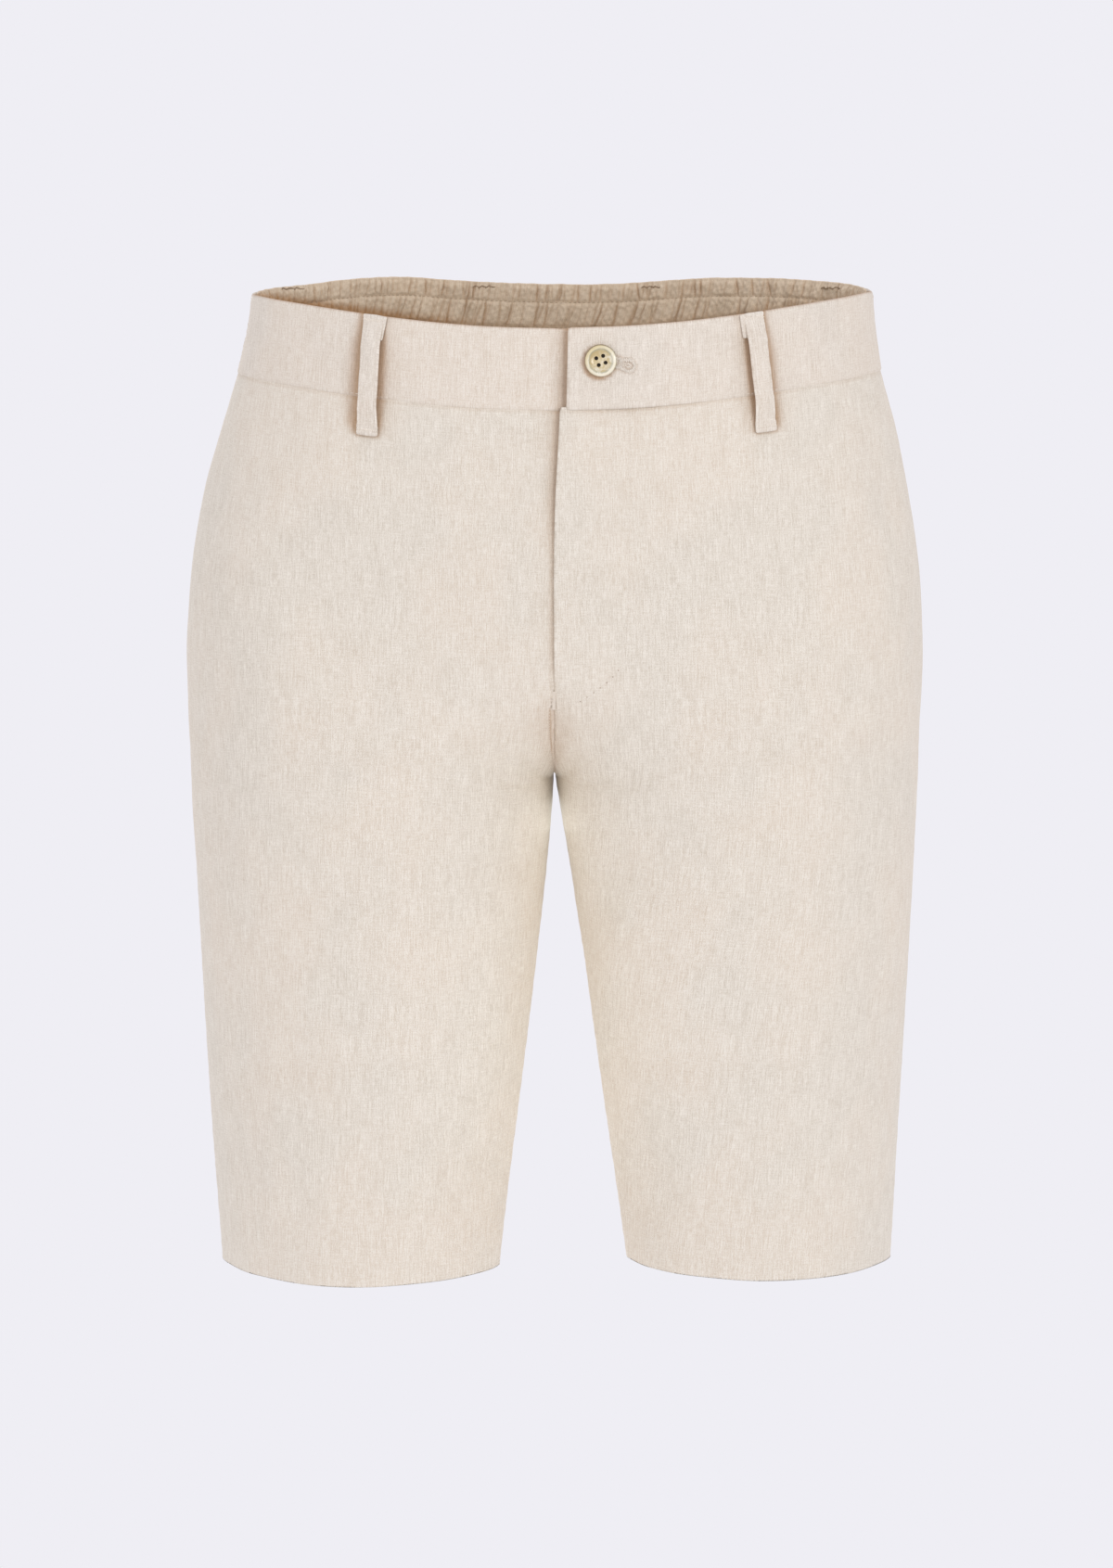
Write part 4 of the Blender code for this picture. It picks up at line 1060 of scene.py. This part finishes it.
def backBand(name):
    spec, strip = gatherSpec, backStrips[name]
    wall, inset, inward = strip["wall"], strip["wall"] / 2, strip["inward"]
    top = bandTop - strip["topDrop"] - inset
    rows = (top - closeToEnds(top - inset - strip["low"], spec["rowStep"], 0.5))[:, None]
    signed = np.linspace(-1, 1, int(spec["length"] / strip["step"]))[None, :]
    girthLeft, girthRight = girthAt(left, back, rows), girthAt(right, back, rows)
    row = np.broadcast_to(rows, (rows.shape[0], signed.shape[1]))
    onLeft = np.broadcast_to(signed < 0, row.shape)
    share = np.abs(signed) * (1 - np.where(onLeft, spec["trim"] / girthLeft, spec["trim"] / girthRight))
    points, normals = (
        np.where(onLeft[..., None], skin(left, back, share, row), skin(right, back, share, row))
        for skin in (skinPoint, skinNormal))
    # The normals of both sides meet smoothly at the middle
    blend = bump(signed * bandSpec["length"], spec["blend"])[..., None]
    normals = unit(normals * (1 - blend) + blend * np.array([0.0, 1.0, 0.0]))
    along = np.where(onLeft, girthLeft * (1 - share), girthLeft + girthRight * share)
    length = float((girthLeft + girthRight).mean())
    signedRow = np.broadcast_to(signed, row.shape)
    folds = foldList(strip["seed"], length, float(girthLeft.mean()), inward)
    puffed = gatherPuff(along, row, signedRow, folds)
    # Painted shade, kept in fold: darkest at the bottom of each gather fold; on the facing also a band along
    # the height of the front edge, which keeps the light from the inside just behind it, most at the left; on
    # the outer strip also beside the loops
    fold = 1 - puffed
    if inward:  # the front edge keeps the light from the inside just behind it, most at the left
        overEdge = points[..., 2] - readTable(edgeRises, edgeColumns, "front", share) + spec["edgeDrop"]
        least, (starts, fade) = spec["edgeKeptRight"], spec["edgeChange"]
        atLeft = least + (1 - least) * ease((-signedRow - starts) / fade)
        kept = (1 - ease(overEdge / spec["edgeWidth"])) * atLeft
        fold = spec["facingShade"] * fold + spec["edgeShade"] * kept
    else:
        fold = spec["stripShade"] * fold
        fold = fold + loopShade(left, back, share * girthLeft, row, girthLeft) * onLeft
        fold = fold + loopShade(right, back, share * girthRight, row, girthRight) * ~onLeft
    fold = np.clip(fold, 0.0, 1.0)
    pinched = 1.0
    for low in (False, True):
        pinched = pinched * (1 - spec["pinch"] * bump(row - channelRow(signedRow, low), spec["pinchWidth"]))
    ends = ease(np.minimum(along, length - along) / spec["endFade"])
    rimmed = 1 - dip(spec["rimCalm"], row - bandTop)
    puffed = strip["puff"] * puffed * pinched * crinkles(along, row) * ends * rimmed
    wave = spec["waveHeight"] * gatherWave((signed + 1) / 2) * (1 - dip(spec["seamCalm"], row - bandSeam))
    lift = bandSpec["proud"] - strip["setIn"] + wave
    outer, inner = (lift, lift - wall - puffed) if inward else (lift + puffed, lift - wall)
    weave = np.stack([along * spec["weaveRound"], row], axis=-1)
    shades = (0.0, fold) if inward else (fold, 0.0)
    made = clothPiece(name + "_cloth", points, normals, outer, inner, weave, [strip["finish"]], shades)
    return hand(made, strip["slot"], name)


bandBack, facing = (backBand(name) for name in backStrips)
print("waistband made")


# Belt loops


def loopPlace(loop, t, across):
    # Points and normals of a loop's underside: t runs down it, across in mm from its middle line
    spec, side, half = loopSpec, loop["side"], loop["half"]
    topShare, lowShare, bottom = loopLine(loop)
    row = bandTop + t * (bottom - bandTop)
    across = across * (1 + spec["flare"] * (1 - ease(np.minimum(t, 1 - t) / spec["flareReach"])))
    share = topShare + t * (lowShare - topShare) + across / girthAt(side, half, row)
    stepDown = ease((bandSeam - row) / spec["tail"])
    off = loop["seat"] + spec["bow"] * within(t, 0, spec["bend"], 1, spec["bend"])
    off = off + bandSpec["proud"] * (1 - stepDown) - (loop["seat"] - spec["gap"]) * stepDown
    return skinPoint(side, half, share, row), skinNormal(side, half, share, row), off


def foldedEnd(number, loop):
    spec = loopSpec
    length = bandTop - bandSeam + spec["tail"]
    inset = spec["foldWall"] / 2
    t = ((inset + 0.3 + closeToEnds(spec["foldDown"] - 2 * inset, 0.8, 0.3)) / length)[:, None]
    across = spec["foldIn"] - closeToEnds(spec["foldOut"] + spec["foldIn"], 0.6, 0.3)[None, :]
    t, across = np.broadcast_arrays(t, across)
    across = across * (1 - spec["foldTaper"][loop["side"]] * t * length / spec["foldDown"])
    points, normals, off = loopPlace(loop, t, across)
    curl = spec["foldCurl"] * np.sin(2.6 * np.abs(across) / spec["foldOut"] + 0.2 * number)
    off = spec["foldGap"] + spec["foldBow"] * (off - spec["foldGap"]) + curl + 0.10 * np.sin(t * 60.0)
    weave = np.stack([across + 37.0 * number, -t * length], axis=-1)
    name, top = f"folded_end_{number}", off + spec["foldWall"]
    return clothPiece(name, points, normals, top, off, weave, [bandLinen])


def joined(piece, *others):
    with bpy.context.temp_override(active_object=piece, selected_editable_objects=[piece, *others]):
        bpy.ops.object.join()
    return piece


def beltLoop(number, loop):
    spec = loopSpec
    inset = spec["wall"] / 2
    length = bandTop - bandSeam + spec["tail"]
    drop = spec["backDrop"] if loop["half"] == back else 0.0
    t = (drop + inset + closeToEnds(length - drop - 2 * inset, length / spec["rows"], 0.4))[:, None] / length
    across = (closeToEnds(spec["width"] - 2 * inset, 0.55, 0.3) - spec["width"] / 2 + inset)[None, :]
    t, across = np.broadcast_arrays(t, across)
    points, normals, off = loopPlace(loop, t, across)
    edge = spec["width"] / 2 - spec["stitchIn"]
    grooves = bump(across - edge, spec["grooveWidth"]) + bump(across + edge, spec["grooveWidth"])
    uneven = 0.10 * np.sin(t * 23.0 + number) + 0.07 * np.sin(t * 51.0 + 2.0 * number + across)
    top = spec["wall"] + uneven - spec["crown"] * across**2 + spec["tucked"] * ease((t - 0.90) / 0.03)
    top = top - spec["groove"] * grooves * within(t, 0, 0.04, 1, 0.05)
    for at, dent in zip(spec["tackAt"], spec["tackDents"]):
        top = top - dent * bump((t - at) * length, 0.8)
    weave = np.stack([across + 40.0 * number, -t * length], axis=-1)
    made = clothPiece(f"belt_loop_{number}_cloth", points, normals, off + top, off, weave, [bandLinen])
    if loop["half"] == front:
        made = joined(made, foldedEnd(number, loop))
    return hand(made, "band_cloth", f"belt_loop_{number}")


beltLoops = [beltLoop(number, loop) for number, loop in enumerate(loops, start=1)]
print("belt loops made")

# Stitches: one tree lays them along every path of an object


def stitchTree():
    tree = bpy.data.node_groups.new("stitches", "GeometryNodeTree")
    face = tree.interface
    face.new_socket("Geometry", in_out="INPUT", socket_type="NodeSocketGeometry")
    for label in ("Pitch", "Length", "Width", "Height", "Lean", "Jitter"):
        face.new_socket(label, in_out="INPUT", socket_type="NodeSocketFloat")
    face.new_socket("Seed", in_out="INPUT", socket_type="NodeSocketInt")
    face.new_socket("Thread", in_out="INPUT", socket_type="NodeSocketMaterial")
    face.new_socket("Geometry", in_out="OUTPUT", socket_type="NodeSocketGeometry")
    given = tree.nodes.new("NodeGroupInput").outputs

    def laid(kind, inputs=None, **settings):
        return node(tree, kind, inputs, **settings).outputs[0]

    curve = laid("GeometryNodeMeshToCurve", {0: given["Geometry"]})
    spaced = laid("GeometryNodeResampleCurve", {"Curve": curve, "Length": given["Pitch"]}, mode="LENGTH")
    tangent = laid("GeometryNodeInputTangent")
    outward = laid("GeometryNodeInputNamedAttribute", {"Name": "outward"}, data_type="FLOAT_VECTOR")
    alongPath = laid("FunctionNodeAlignRotationToVector", {"Vector": tangent}, axis="X")
    upright = laid("FunctionNodeAlignRotationToVector", {"Rotation": alongPath, "Vector": outward},
                   axis="Z", pivot_axis="X")
    random = node(tree, "FunctionNodeRandomValue", {"Seed": given["Seed"]}, data_type="FLOAT")
    ends = {socket.name: socket for socket in random.inputs if socket.type == "VALUE"}
    give(tree, ends["Min"], maths(tree, "SUBTRACT", 0.0, given["Jitter"]))
    give(tree, ends["Max"], given["Jitter"])
    change = [socket for socket in random.outputs if socket.type == "VALUE"][0]
    lean = laid("ShaderNodeCombineXYZ", {"Z": maths(tree, "ADD", given["Lean"], change)})
    lean = laid("FunctionNodeEulerToRotation", {0: lean})
    turned = laid("FunctionNodeRotateRotation", {"Rotation": upright, "Rotate By": lean},
                  rotation_space="LOCAL")
    length = maths(tree, "MULTIPLY", given["Length"], maths(tree, "ADD", 1.0, change))
    size = laid("ShaderNodeCombineXYZ", {"X": length, "Y": given["Width"], "Z": given["Height"]})
    stitch = laid("GeometryNodeMeshUVSphere", {"Segments": 6, "Rings": 5, "Radius": 0.5})
    copies = laid("GeometryNodeInstanceOnPoints",
                  {"Points": spaced, "Instance": stitch, "Rotation": turned, "Scale": size})
    real = laid("GeometryNodeRealizeInstances", {0: copies})
    smooth = laid("GeometryNodeSetShadeSmooth", {"Geometry": real})
    finished = laid("GeometryNodeSetMaterial", {"Geometry": smooth, "Material": given["Thread"]})
    node(tree, "NodeGroupOutput", {"Geometry": finished})
    return tree


stitches = stitchTree()

# Each kind of sewing: its thread and the cloth it is on, the pitch from stitch to stitch in mm, a stitch's
# length, width and height in mm, how far it leans off its row in radians, its unevenness and its seed
sewingColumns = ("Thread", "slot", "Pitch", "Length", "Width", "Height", "Lean", "Jitter", "Seed")
sewingTable = {
    "fly_stitching": (paleThread, "leg_cloth", 3.9, 3.1, 0.42, 0.30, 0.0, 0.08, 3),
    "fly_needle_hole_shadows": (needleHoleShadow, "leg_cloth", 3.9, 0.78, 0.64, 0.24, 0.0, 0.08, 4),
    "fly_bar_tack": (paleThread, "leg_cloth", 0.42, 2.7, 0.46, 0.50, 1.45, 0.08, 5),
    "seam_stitching": (paleThread, "leg_cloth", 2.6, 2.1, 0.32, 0.22, 0.0, 0.08, 6),
    "waistband_stitching": (paleThread, "band_cloth", 2.7, 2.1, 0.30, 0.20, 0.0, 0.08, 7),
    "facing_stitching": (facingThread, "facing_cloth", 2.5, 1.8, 0.42, 0.36, 0.0, 0.08, 12),
    "gather_stitching": (paleThread, "band_cloth", 2.5, 1.9, 0.38, 0.32, 0.0, 0.08, 13),
    "loop_stitching": (paleThread, "band_cloth", 2.4, 1.9, 0.38, 0.30, 0.0, 0.08, 8),
    "loop_tacks": (satinThread, "band_cloth", 0.62, 1.15, 0.36, 0.40, 1.1, 0.08, 9),
    "inside_tacks": (tackThread, "facing_cloth", 0.95, 1.7, 0.62, 0.50, 0.6, 0.08, 14),
    "buttonhole": (satinThread, "band_cloth", 0.44, holeSpec["stitch"], 0.40, 0.55, 1.571, 0.30, 15),
    "buttonhole_eye": (satinThread, "band_cloth", 0.62, 1.5, 0.40, 0.42, 1.3, 0.60, 16),
}


def sewn(name, paths):
    # paths: pairs of points and outward normals, in mm
    spec = dict(zip(sewingColumns, sewingTable[name]))
    points, outward = (np.concatenate(parts) for parts in zip(*paths))
    edges, start = [], 0
    for path, _ in paths:
        edges += [(start + k, start + k + 1) for k in range(len(path) - 1)]
        start += len(path)
    mesh = bpy.data.meshes.new(name + "_paths")
    mesh.from_pydata((points * mm).tolist(), edges, [])
    layer = mesh.attributes.new("outward", "FLOAT_VECTOR", "POINT")
    layer.data.foreach_set("vector", outward.astype(np.float32).ravel())
    drawn = newObject(name + "_paths", mesh)
    modifier = drawn.modifiers.new("stitches", "NODES")
    modifier.node_group = stitches
    for item in stitches.interface.items_tree:
        if item.item_type == "SOCKET" and item.in_out == "INPUT" and item.name in spec:
            inMm = item.name in ("Pitch", "Length", "Width", "Height")
            modifier[item.identifier] = spec[item.name] * mm if inMm else spec[item.name]
    result = plainMesh(drawn)
    result.name = name
    bpy.data.objects.remove(drawn, do_unlink=True)
    return hand(newObject(name, result), spec["slot"])


def surfaceOf(*pieces):
    points, faces = [], []
    for piece in pieces:
        start = len(points)
        points += [v.co.copy() for v in piece.data.vertices]
        faces += [[start + k for k in face.vertices] for face in piece.data.polygons]
    return BVHTree.FromPolygons(points, faces)


def seated(surface, points, outward, gap=0.0, reach=14.0):
    # Moves each point along its outward direction on to the surface, seen from outside
    placed = []
    for point, direction in zip(points, outward):
        start = Vector((point + reach * direction) * mm)
        hit = surface.ray_cast(start, Vector(-direction), 2 * reach * mm)[0]
        placed.append(point if hit is None else np.array(hit) / mm + gap * direction)
    return np.array(placed)


def seatedPath(side, half, share, row, surface, gap=0.0, inside=False):
    outward = skinNormal(side, half, share, row) * (-1 if inside else 1)
    return seated(surface, skinPoint(side, half, share, row), outward, gap), outward


def linePath(side, half, places, count, surface, gap=0.0, inside=False):
    # Through places given as x and z
    share, row = smoothPath([placeAt(side, half, x, z) for x, z in places], count).T
    return seatedPath(side, half, share, row, surface, gap, inside)


frontSurface = surfaceOf(panels[left, front], panels[right, front], bandLeft, bandRight)
facingSurface = surfaceOf(facing)
backSurface = surfaceOf(bandBack, panels[left, back], panels[right, back])
loopSurface = surfaceOf(*beltLoops)

# Fly
flyPoints, flyOutward = seatedPath(right, front, *flyPath.T, frontSurface, 0.02)
flySewing = sewn("fly_stitching", [(flyPoints, flyOutward)])
# Painted shade: small dark dots round the J of the fly stand for the shadow in its needle holes
pierced = (flyPoints[:, 0] > flySpec["holesFrom"]) & (flyPoints[:, 0] < flySpec["holesTo"])
pierced = pierced & (flyPath[:, 1] < flySpec["curveTop"])
holePoints = flyPoints[pierced] + flySpec["holeRise"] * flyOutward[pierced]
flyHoles = sewn("fly_needle_hole_shadows", [(holePoints, flyOutward[pierced])])
tackPlaces = [(flySpec["tackMiddle"], z) for z in np.linspace(flySpec["tackTop"], flySpec["tackBottom"], 5)]
tackPoints, tackOutward = linePath(left, front, tackPlaces, 30, frontSurface, flySpec["tackGap"])
tackPoints = np.linspace(tackPoints[0], tackPoints[-1], 30)  # it bridges the lap's edge in a straight line
flyTack = sewn("fly_bar_tack", [(tackPoints, tackOutward)])
seamPlaces = [(flySpec["seamX"], z) for z in flySpec["seamPlaces"]]
seamSewing = sewn("seam_stitching", [linePath(left, front, seamPlaces, 40, frontSurface, 0.04)])

# Waistband
bandPaths = []
for half, first, surface in ((front, 0.04, frontSurface), (back, 0.0, backSurface)):
    for side in (left, right):
        share = np.linspace(first, 0.99, 200)
        bandPaths.append(seatedPath(side, half, share, np.full(share.shape, bandSeam + 1.3), surface))
bandSewing = sewn("waistband_stitching", bandPaths)


def channelPaths(surface, inside):
    paths = []
    for low in (False, True):
        for side in (left, right):
            share = np.linspace(0.0, 0.985, 320)
            paths.append(seatedPath(side, back, share, channelRow(side * share, low), surface, 0.05, inside))
    return paths


facingSewing = sewn("facing_stitching", channelPaths(facingSurface, True))
gatherSewing = sewn("gather_stitching", channelPaths(backSurface, False))


def loopPath(loop, t, across, gap):
    points, normals, _ = loopPlace(loop, t, across)
    return seated(loopSurface, points, normals, gap, 8.0), normals


loopEdge = loopSpec["width"] / 2 - loopSpec["stitchIn"]
t = np.linspace(0.05, 0.95, 60)
loopPaths = [loopPath(loop, t, np.full(t.shape, edge * loopEdge), 0.0) for loop in loops for edge in (-1, 1)]
loopSewing = sewn("loop_stitching", loopPaths)
across = np.linspace(-loopSpec["tackReach"], loopSpec["tackReach"], 30)
waver = loopSpec["tackWaver"] * np.sin(7.0 * across)
tackPaths = [loopPath(loop, at + waver, across, 0.05) for loop in loops for at in loopSpec["tackAt"]]
loopTacks = sewn("loop_tacks", tackPaths)

# The back loops' tacks come through to the inside: side, x of both ends and z
insideTacks = (
    (left, -44.6, -33.6, 2.4), (right, 46.2, 55.4, 2.2),
    (left, -146.0, -135.6, 1.6), (right, 141.5, 151.0, 1.8),
)
insidePaths = []
for side, x1, x2, z in insideTacks:
    places = [(x1 + (x2 - x1) * k / 8, z + 0.45 * math.sin(2.3 * k)) for k in range(9)]
    insidePaths.append(linePath(side, back, places, 40, facingSurface, 0.10, inside=True))
insideSewing = sewn("inside_tacks", insidePaths)


def keyhole(slit, eye, reach):
    # Round the buttonhole: a slit with an eye at its outer end
    start, end = np.array(holeSpec["start"]), np.array(holeSpec["end"])
    run = (end - start) / np.linalg.norm(end - start)
    side = np.array([-run[1], run[0]])
    turns = np.radians(np.linspace(holeSpec["eyeTurn"], -holeSpec["eyeTurn"], 13))
    eyePoints = [end + eye * (math.cos(turn) * run + math.sin(turn) * side) for turn in turns]
    neck = end - reach * run
    return [start + slit * side, neck + slit * side, *eyePoints, neck - slit * side, start - slit * side]


stitchOut = holeSpec["stitch"] / 2
holePlaces = keyhole(holeSpec["slit"] + stitchOut, holeSpec["eye"] + stitchOut, holeSpec["reach"])
eyePlaces = keyhole(holeSpec["eyeSlit"], holeSpec["eyeRadius"], holeSpec["eyeReach"])
holeSewing = [
    sewn("buttonhole", [linePath(right, front, holePlaces, 240, frontSurface, holeSpec["gap"])]),
    sewn("buttonhole_eye", [linePath(right, front, eyePlaces, 160, frontSurface, holeSpec["eyeGap"])]),
]
print("stitches made")


# How wide and long each piece of cloth was cut, with the gathered strips' fullness and the front loops'
# turned-in ends, worked out but not kept


def declare(piece, fullness=1.0, turnedIn=0.0):
    wide, long = cuts[piece.name]
    wide, long = wide * fullness * mm, (long + turnedIn) * mm


fullness = gatherSpec["fullness"]
declare(panels[left, front])
declare(panels[right, front])
declare(panels[left, back])
declare(panels[right, back])
declare(bandLeft)
declare(bandRight)
declare(bandBack, fullness)
declare(facing, fullness)
for number, (loop, piece) in enumerate(zip(loops, beltLoops)):
    turnedIn = loopSpec["foldDown"] if loop["half"] == front else 0.0
    declare(piece, turnedIn=turnedIn)


# Button

hornSpec = {
    "cloud": {"Scale": 330.0, "Detail": 3.0, "Distortion": 1.4}, "wander": 0.0006,
    # the stop at 0.71 is painted shade in the groove, the one at 0.975 painted shade on the side wall
    "stops": (
        (0.0, (0.72, 0.62, 0.40)), (0.30, (0.64, 0.52, 0.29)), (0.64, (0.60, 0.49, 0.27)),
        (0.71, (0.50, 0.47, 0.33)), (0.76, (0.60, 0.57, 0.43)), (0.80, (0.88, 0.82, 0.64)),
        (0.92, (0.84, 0.77, 0.57)), (0.975, (0.26, 0.20, 0.10)),
    ),
    "leanWay": (-0.62, 0.0, 0.78), "leanRange": (-0.004, 0.007), "tan": (0.84, 0.77, 0.60),
    "highlightTint": (0.90, 0.85, 0.72), "highlightRange": (0.42, 0.66, 0.8),
    "look": {"Roughness": 0.24, "Coat Weight": 0.5, "Coat Roughness": 0.10},
    "holeShadow": ((0.0, (0.02, 0.014, 0.008)), (1.0, (0.06, 0.04, 0.02))),
}


def hornFinish(seat):
    # A cream rim with painted shade on its side wall, a greenish ring darkened with painted shade in the
    # groove, and a tan dish; painted shade makes it tan at the upper left, and pale patches of painted
    # highlight lie low on the right
    spec = hornSpec
    made, tree, shader = newMaterial("pale_horn", spec["look"])
    place = node(tree, "ShaderNodeTexCoord").outputs["Object"]
    centred = vectorMaths(tree, "SUBTRACT", place, tuple(seat * mm))
    cloud = node(tree, "ShaderNodeTexNoise", {"Vector": centred, **spec["cloud"]}).outputs["Fac"]
    wander = maths(tree, "MULTIPLY", maths(tree, "SUBTRACT", cloud, 0.5), spec["wander"])
    reach = vectorMaths(tree, "LENGTH", vectorMaths(tree, "MULTIPLY", centred, (1.0, 0.0, 1.0)))
    ring = ranged(tree, maths(tree, "ADD", reach, wander), 0.0, buttonSpec["radius"] * mm)
    lean = vectorMaths(tree, "DOT_PRODUCT", centred, spec["leanWay"])
    upperLeft = ranged(tree, maths(tree, "ADD", lean, wander), *spec["leanRange"])
    tanned = mixed(tree, upperLeft, ramp(tree, ring, spec["stops"]), spec["tan"], "MULTIPLY")
    lowerRight = maths(tree, "SUBTRACT", 1.0, upperLeft)
    paintedHighlight = maths(tree, "MULTIPLY", ranged(tree, cloud, *spec["highlightRange"]), lowerRight)
    give(tree, shader.inputs["Base Color"], mixed(tree, paintedHighlight, tanned, spec["highlightTint"]))
    return made


def lathed(rings, sides):
    # Points and faces round Z through rings of (radius, height); a radius of 0 closes an end with a point
    turns = 2 * np.pi * np.arange(sides) / sides
    points, faces, before = [], [], None
    for radius, height in rings:
        count = sides if radius else 1
        ring = [len(points) + k % count for k in range(sides + 1)]
        points += [(radius * math.cos(a), radius * math.sin(a), height) for a in turns[:count]]
        if before:
            for k in range(sides):
                face = (before[k], before[k + 1], ring[k + 1], ring[k])
                faces.append(tuple(dict.fromkeys(face)))
        before = ring
    return np.array(points), faces


def makeButton():
    spec = buttonSpec
    share, row = (np.array([value]) for value in placeAt(right, front, spec["x"], spec["z"]))
    normal = skinNormal(right, front, share, row)[0]
    seat = skinPoint(right, front, share, row)[0]
    seat = seat + (bandSpec["proud"] + bandSpec["lift"] + spec["off"]) * normal
    # Painted shade: the walls of the button's holes take a nearly black finish, for the shade deep inside
    # them
    holeShadow = speckled("painted_shade_in_button_holes", 900.0, 2.0, hornSpec["holeShadow"], {"Roughness": 0.6})
    outline = [(spec["radius"] * wide, spec["depth"] * high) for wide, high in spec["profile"]]
    disc = meshObject("button_disc", *lathed(outline, spec["sides"]), [hornFinish(seat), holeShadow])
    cutters = []
    for k in range(spec["holes"]):
        turn = math.radians(spec["holeTurn"] + 45 + 360 / spec["holes"] * k)
        profile = [(spec["holeRadius"] + wider, high) for wider, high in spec["holeProfile"]]
        points, faces = lathed(profile, spec["holeSides"])
        points = points + spec["holeRing"] * np.array([math.cos(turn), math.sin(turn), 0.0])
        last, sides = len(points), spec["holeSides"]
        faces += [tuple(range(sides - 1, -1, -1)), tuple(range(last - sides, last))]
        cutter = meshObject(f"hole_cutter_{k}", points, faces, [holeShadow])
        cutters.append(cutter)
        cut = disc.modifiers.new(f"hole_{k}", "BOOLEAN")
        cut.operation, cut.solver, cut.object, cut.material_mode = "DIFFERENCE", "EXACT", cutter, "TRANSFER"
    mesh = plainMesh(disc)
    outward = Vector(normal).to_track_quat("Z", "Y").to_matrix().to_4x4()
    mesh.transform(Matrix.Translation(Vector(seat) * mm) @ outward)
    mesh.shade_smooth()
    mesh.set_sharp_from_angle(angle=math.radians(spec["sharpAngle"]))
    for old in cutters + [disc]:
        bpy.data.objects.remove(old, do_unlink=True)
    return hand(newObject("button_horn", mesh), "button", "button")


makeButton()
print("button made")

# Floor, light and camera
studioSpec = {
    "floor": -1.30, "floorReach": 14.0, "floorSides": 96, "floorFade": (0.12, 0.55),
    "floorLook": {"Base Color": (0.80, 0.79, 0.83), "Roughness": 0.9}, "paper": (0.863, 0.855, 0.905),
    "camera": (0.0, -2.8, 0.03), "lens": 124.82, "sensor": 36.0, "tilt": 5.7835, "farthest": 60.0,
}
# Each lamp's place, aim, size, power and colour
warmWhite, coldWhite = (1.0, 0.985, 0.955), (0.80, 0.90, 1.0)
lamps = {
    "key": ((1.45, -2.5, 0.6), (0.0, 0.0, -0.25), (0.7, 0.7), 13.5, warmWhite),
    "fill": ((-1.3, -2.6, 0.0), (0.0, 0.0, -0.3), (1.2, 1.2), 5.5, warmWhite),
    "behind": ((-1.0, 2.8, 0.3), (0.0, 0.0, -0.3), (1.0, 1.0), 11.0, warmWhite),
    "under": ((0.0, 0.0, -1.27), None, (1.4, 0.14), 2.6, (0.95, 0.965, 1.0)),
    "at_fork": ((0.0, -0.03, -0.2765), None, (0.0035, 0.20), 0.0014, (0.85, 0.92, 1.0)),
}
# Small lamps stand in the gap between the legs, back to back, one pair over the other: height, tall, power
for level, (height, tall, power) in {"low": (-0.37, 0.17, 0.0105), "high": (-0.2718, 0.024, 0.0026)}.items():
    for side in (left, right):
        place, aim = (side * 0.001, -0.03, height), (side * 1.0, -0.03, height)
        lamps[f"between_{sideName(side)}_{level}"] = (place, aim, (0.20, tall), power, coldWhite)


def floorDisc():
    # Plain paper close under the shorts, which turns into the even ground of the background further out
    spec = studioSpec
    made, tree, shader = newMaterial("pale_floor", spec["floorLook"])
    place = node(tree, "ShaderNodeTexCoord").outputs["Object"]
    reach = vectorMaths(tree, "LENGTH", vectorMaths(tree, "MULTIPLY", place, (1.0, 1.0, 0.0)))
    fade = ranged(tree, reach, *spec["floorFade"], interpolation_type="SMOOTHSTEP")
    glow = node(tree, "ShaderNodeEmission", {"Color": spec["paper"], "Strength": 1.0}).outputs[0]
    mix = node(tree, "ShaderNodeMixShader", {0: fade, 1: shader.outputs[0], 2: glow})
    give(tree, tree.nodes["Material Output"].inputs["Surface"], mix.outputs[0])
    ring = lathed([(spec["floorReach"] / mm, spec["floor"] / mm)], spec["floorSides"])[0]
    meshObject("floor", ring, [tuple(range(len(ring)))], [made])


def areaLight(name, place, aim, size, power, colour):
    # A lamp with no aim shines straight up
    lamp = bpy.data.lights.new(name, "AREA")
    lamp.shape, lamp.size, lamp.size_y, lamp.energy, lamp.color = "ELLIPSE", *size, power, colour
    made = newObject(name, lamp)
    made.location = place
    made.rotation_euler = (math.pi, 0.0, 0.0)
    if aim:
        made.rotation_euler = (Vector(aim) - Vector(place)).to_track_quat("-Z", "Y").to_euler()
    made.visible_camera = False


floorDisc()
for name, lamp in lamps.items():
    areaLight(name, *lamp)
bpy.context.scene.view_settings.view_transform = "Standard"
world = bpy.data.worlds.new("studio")
bpy.context.scene.world = world
world.use_nodes = True
world.node_tree.nodes["Background"].inputs["Color"].default_value = (*studioSpec["paper"], 1.0)
world.node_tree.nodes["Background"].inputs["Strength"].default_value = 1.0

lens = bpy.data.cameras.new("camera")
lens.sensor_fit, lens.sensor_height, lens.lens = "VERTICAL", studioSpec["sensor"], studioSpec["lens"]
lens.clip_end = studioSpec["farthest"]
camera = newObject("camera", lens)
camera.location = studioSpec["camera"]
camera.rotation_euler = (math.radians(90 - studioSpec["tilt"]), 0.0, 0.0)
bpy.context.scene.camera = camera
print("studio made")
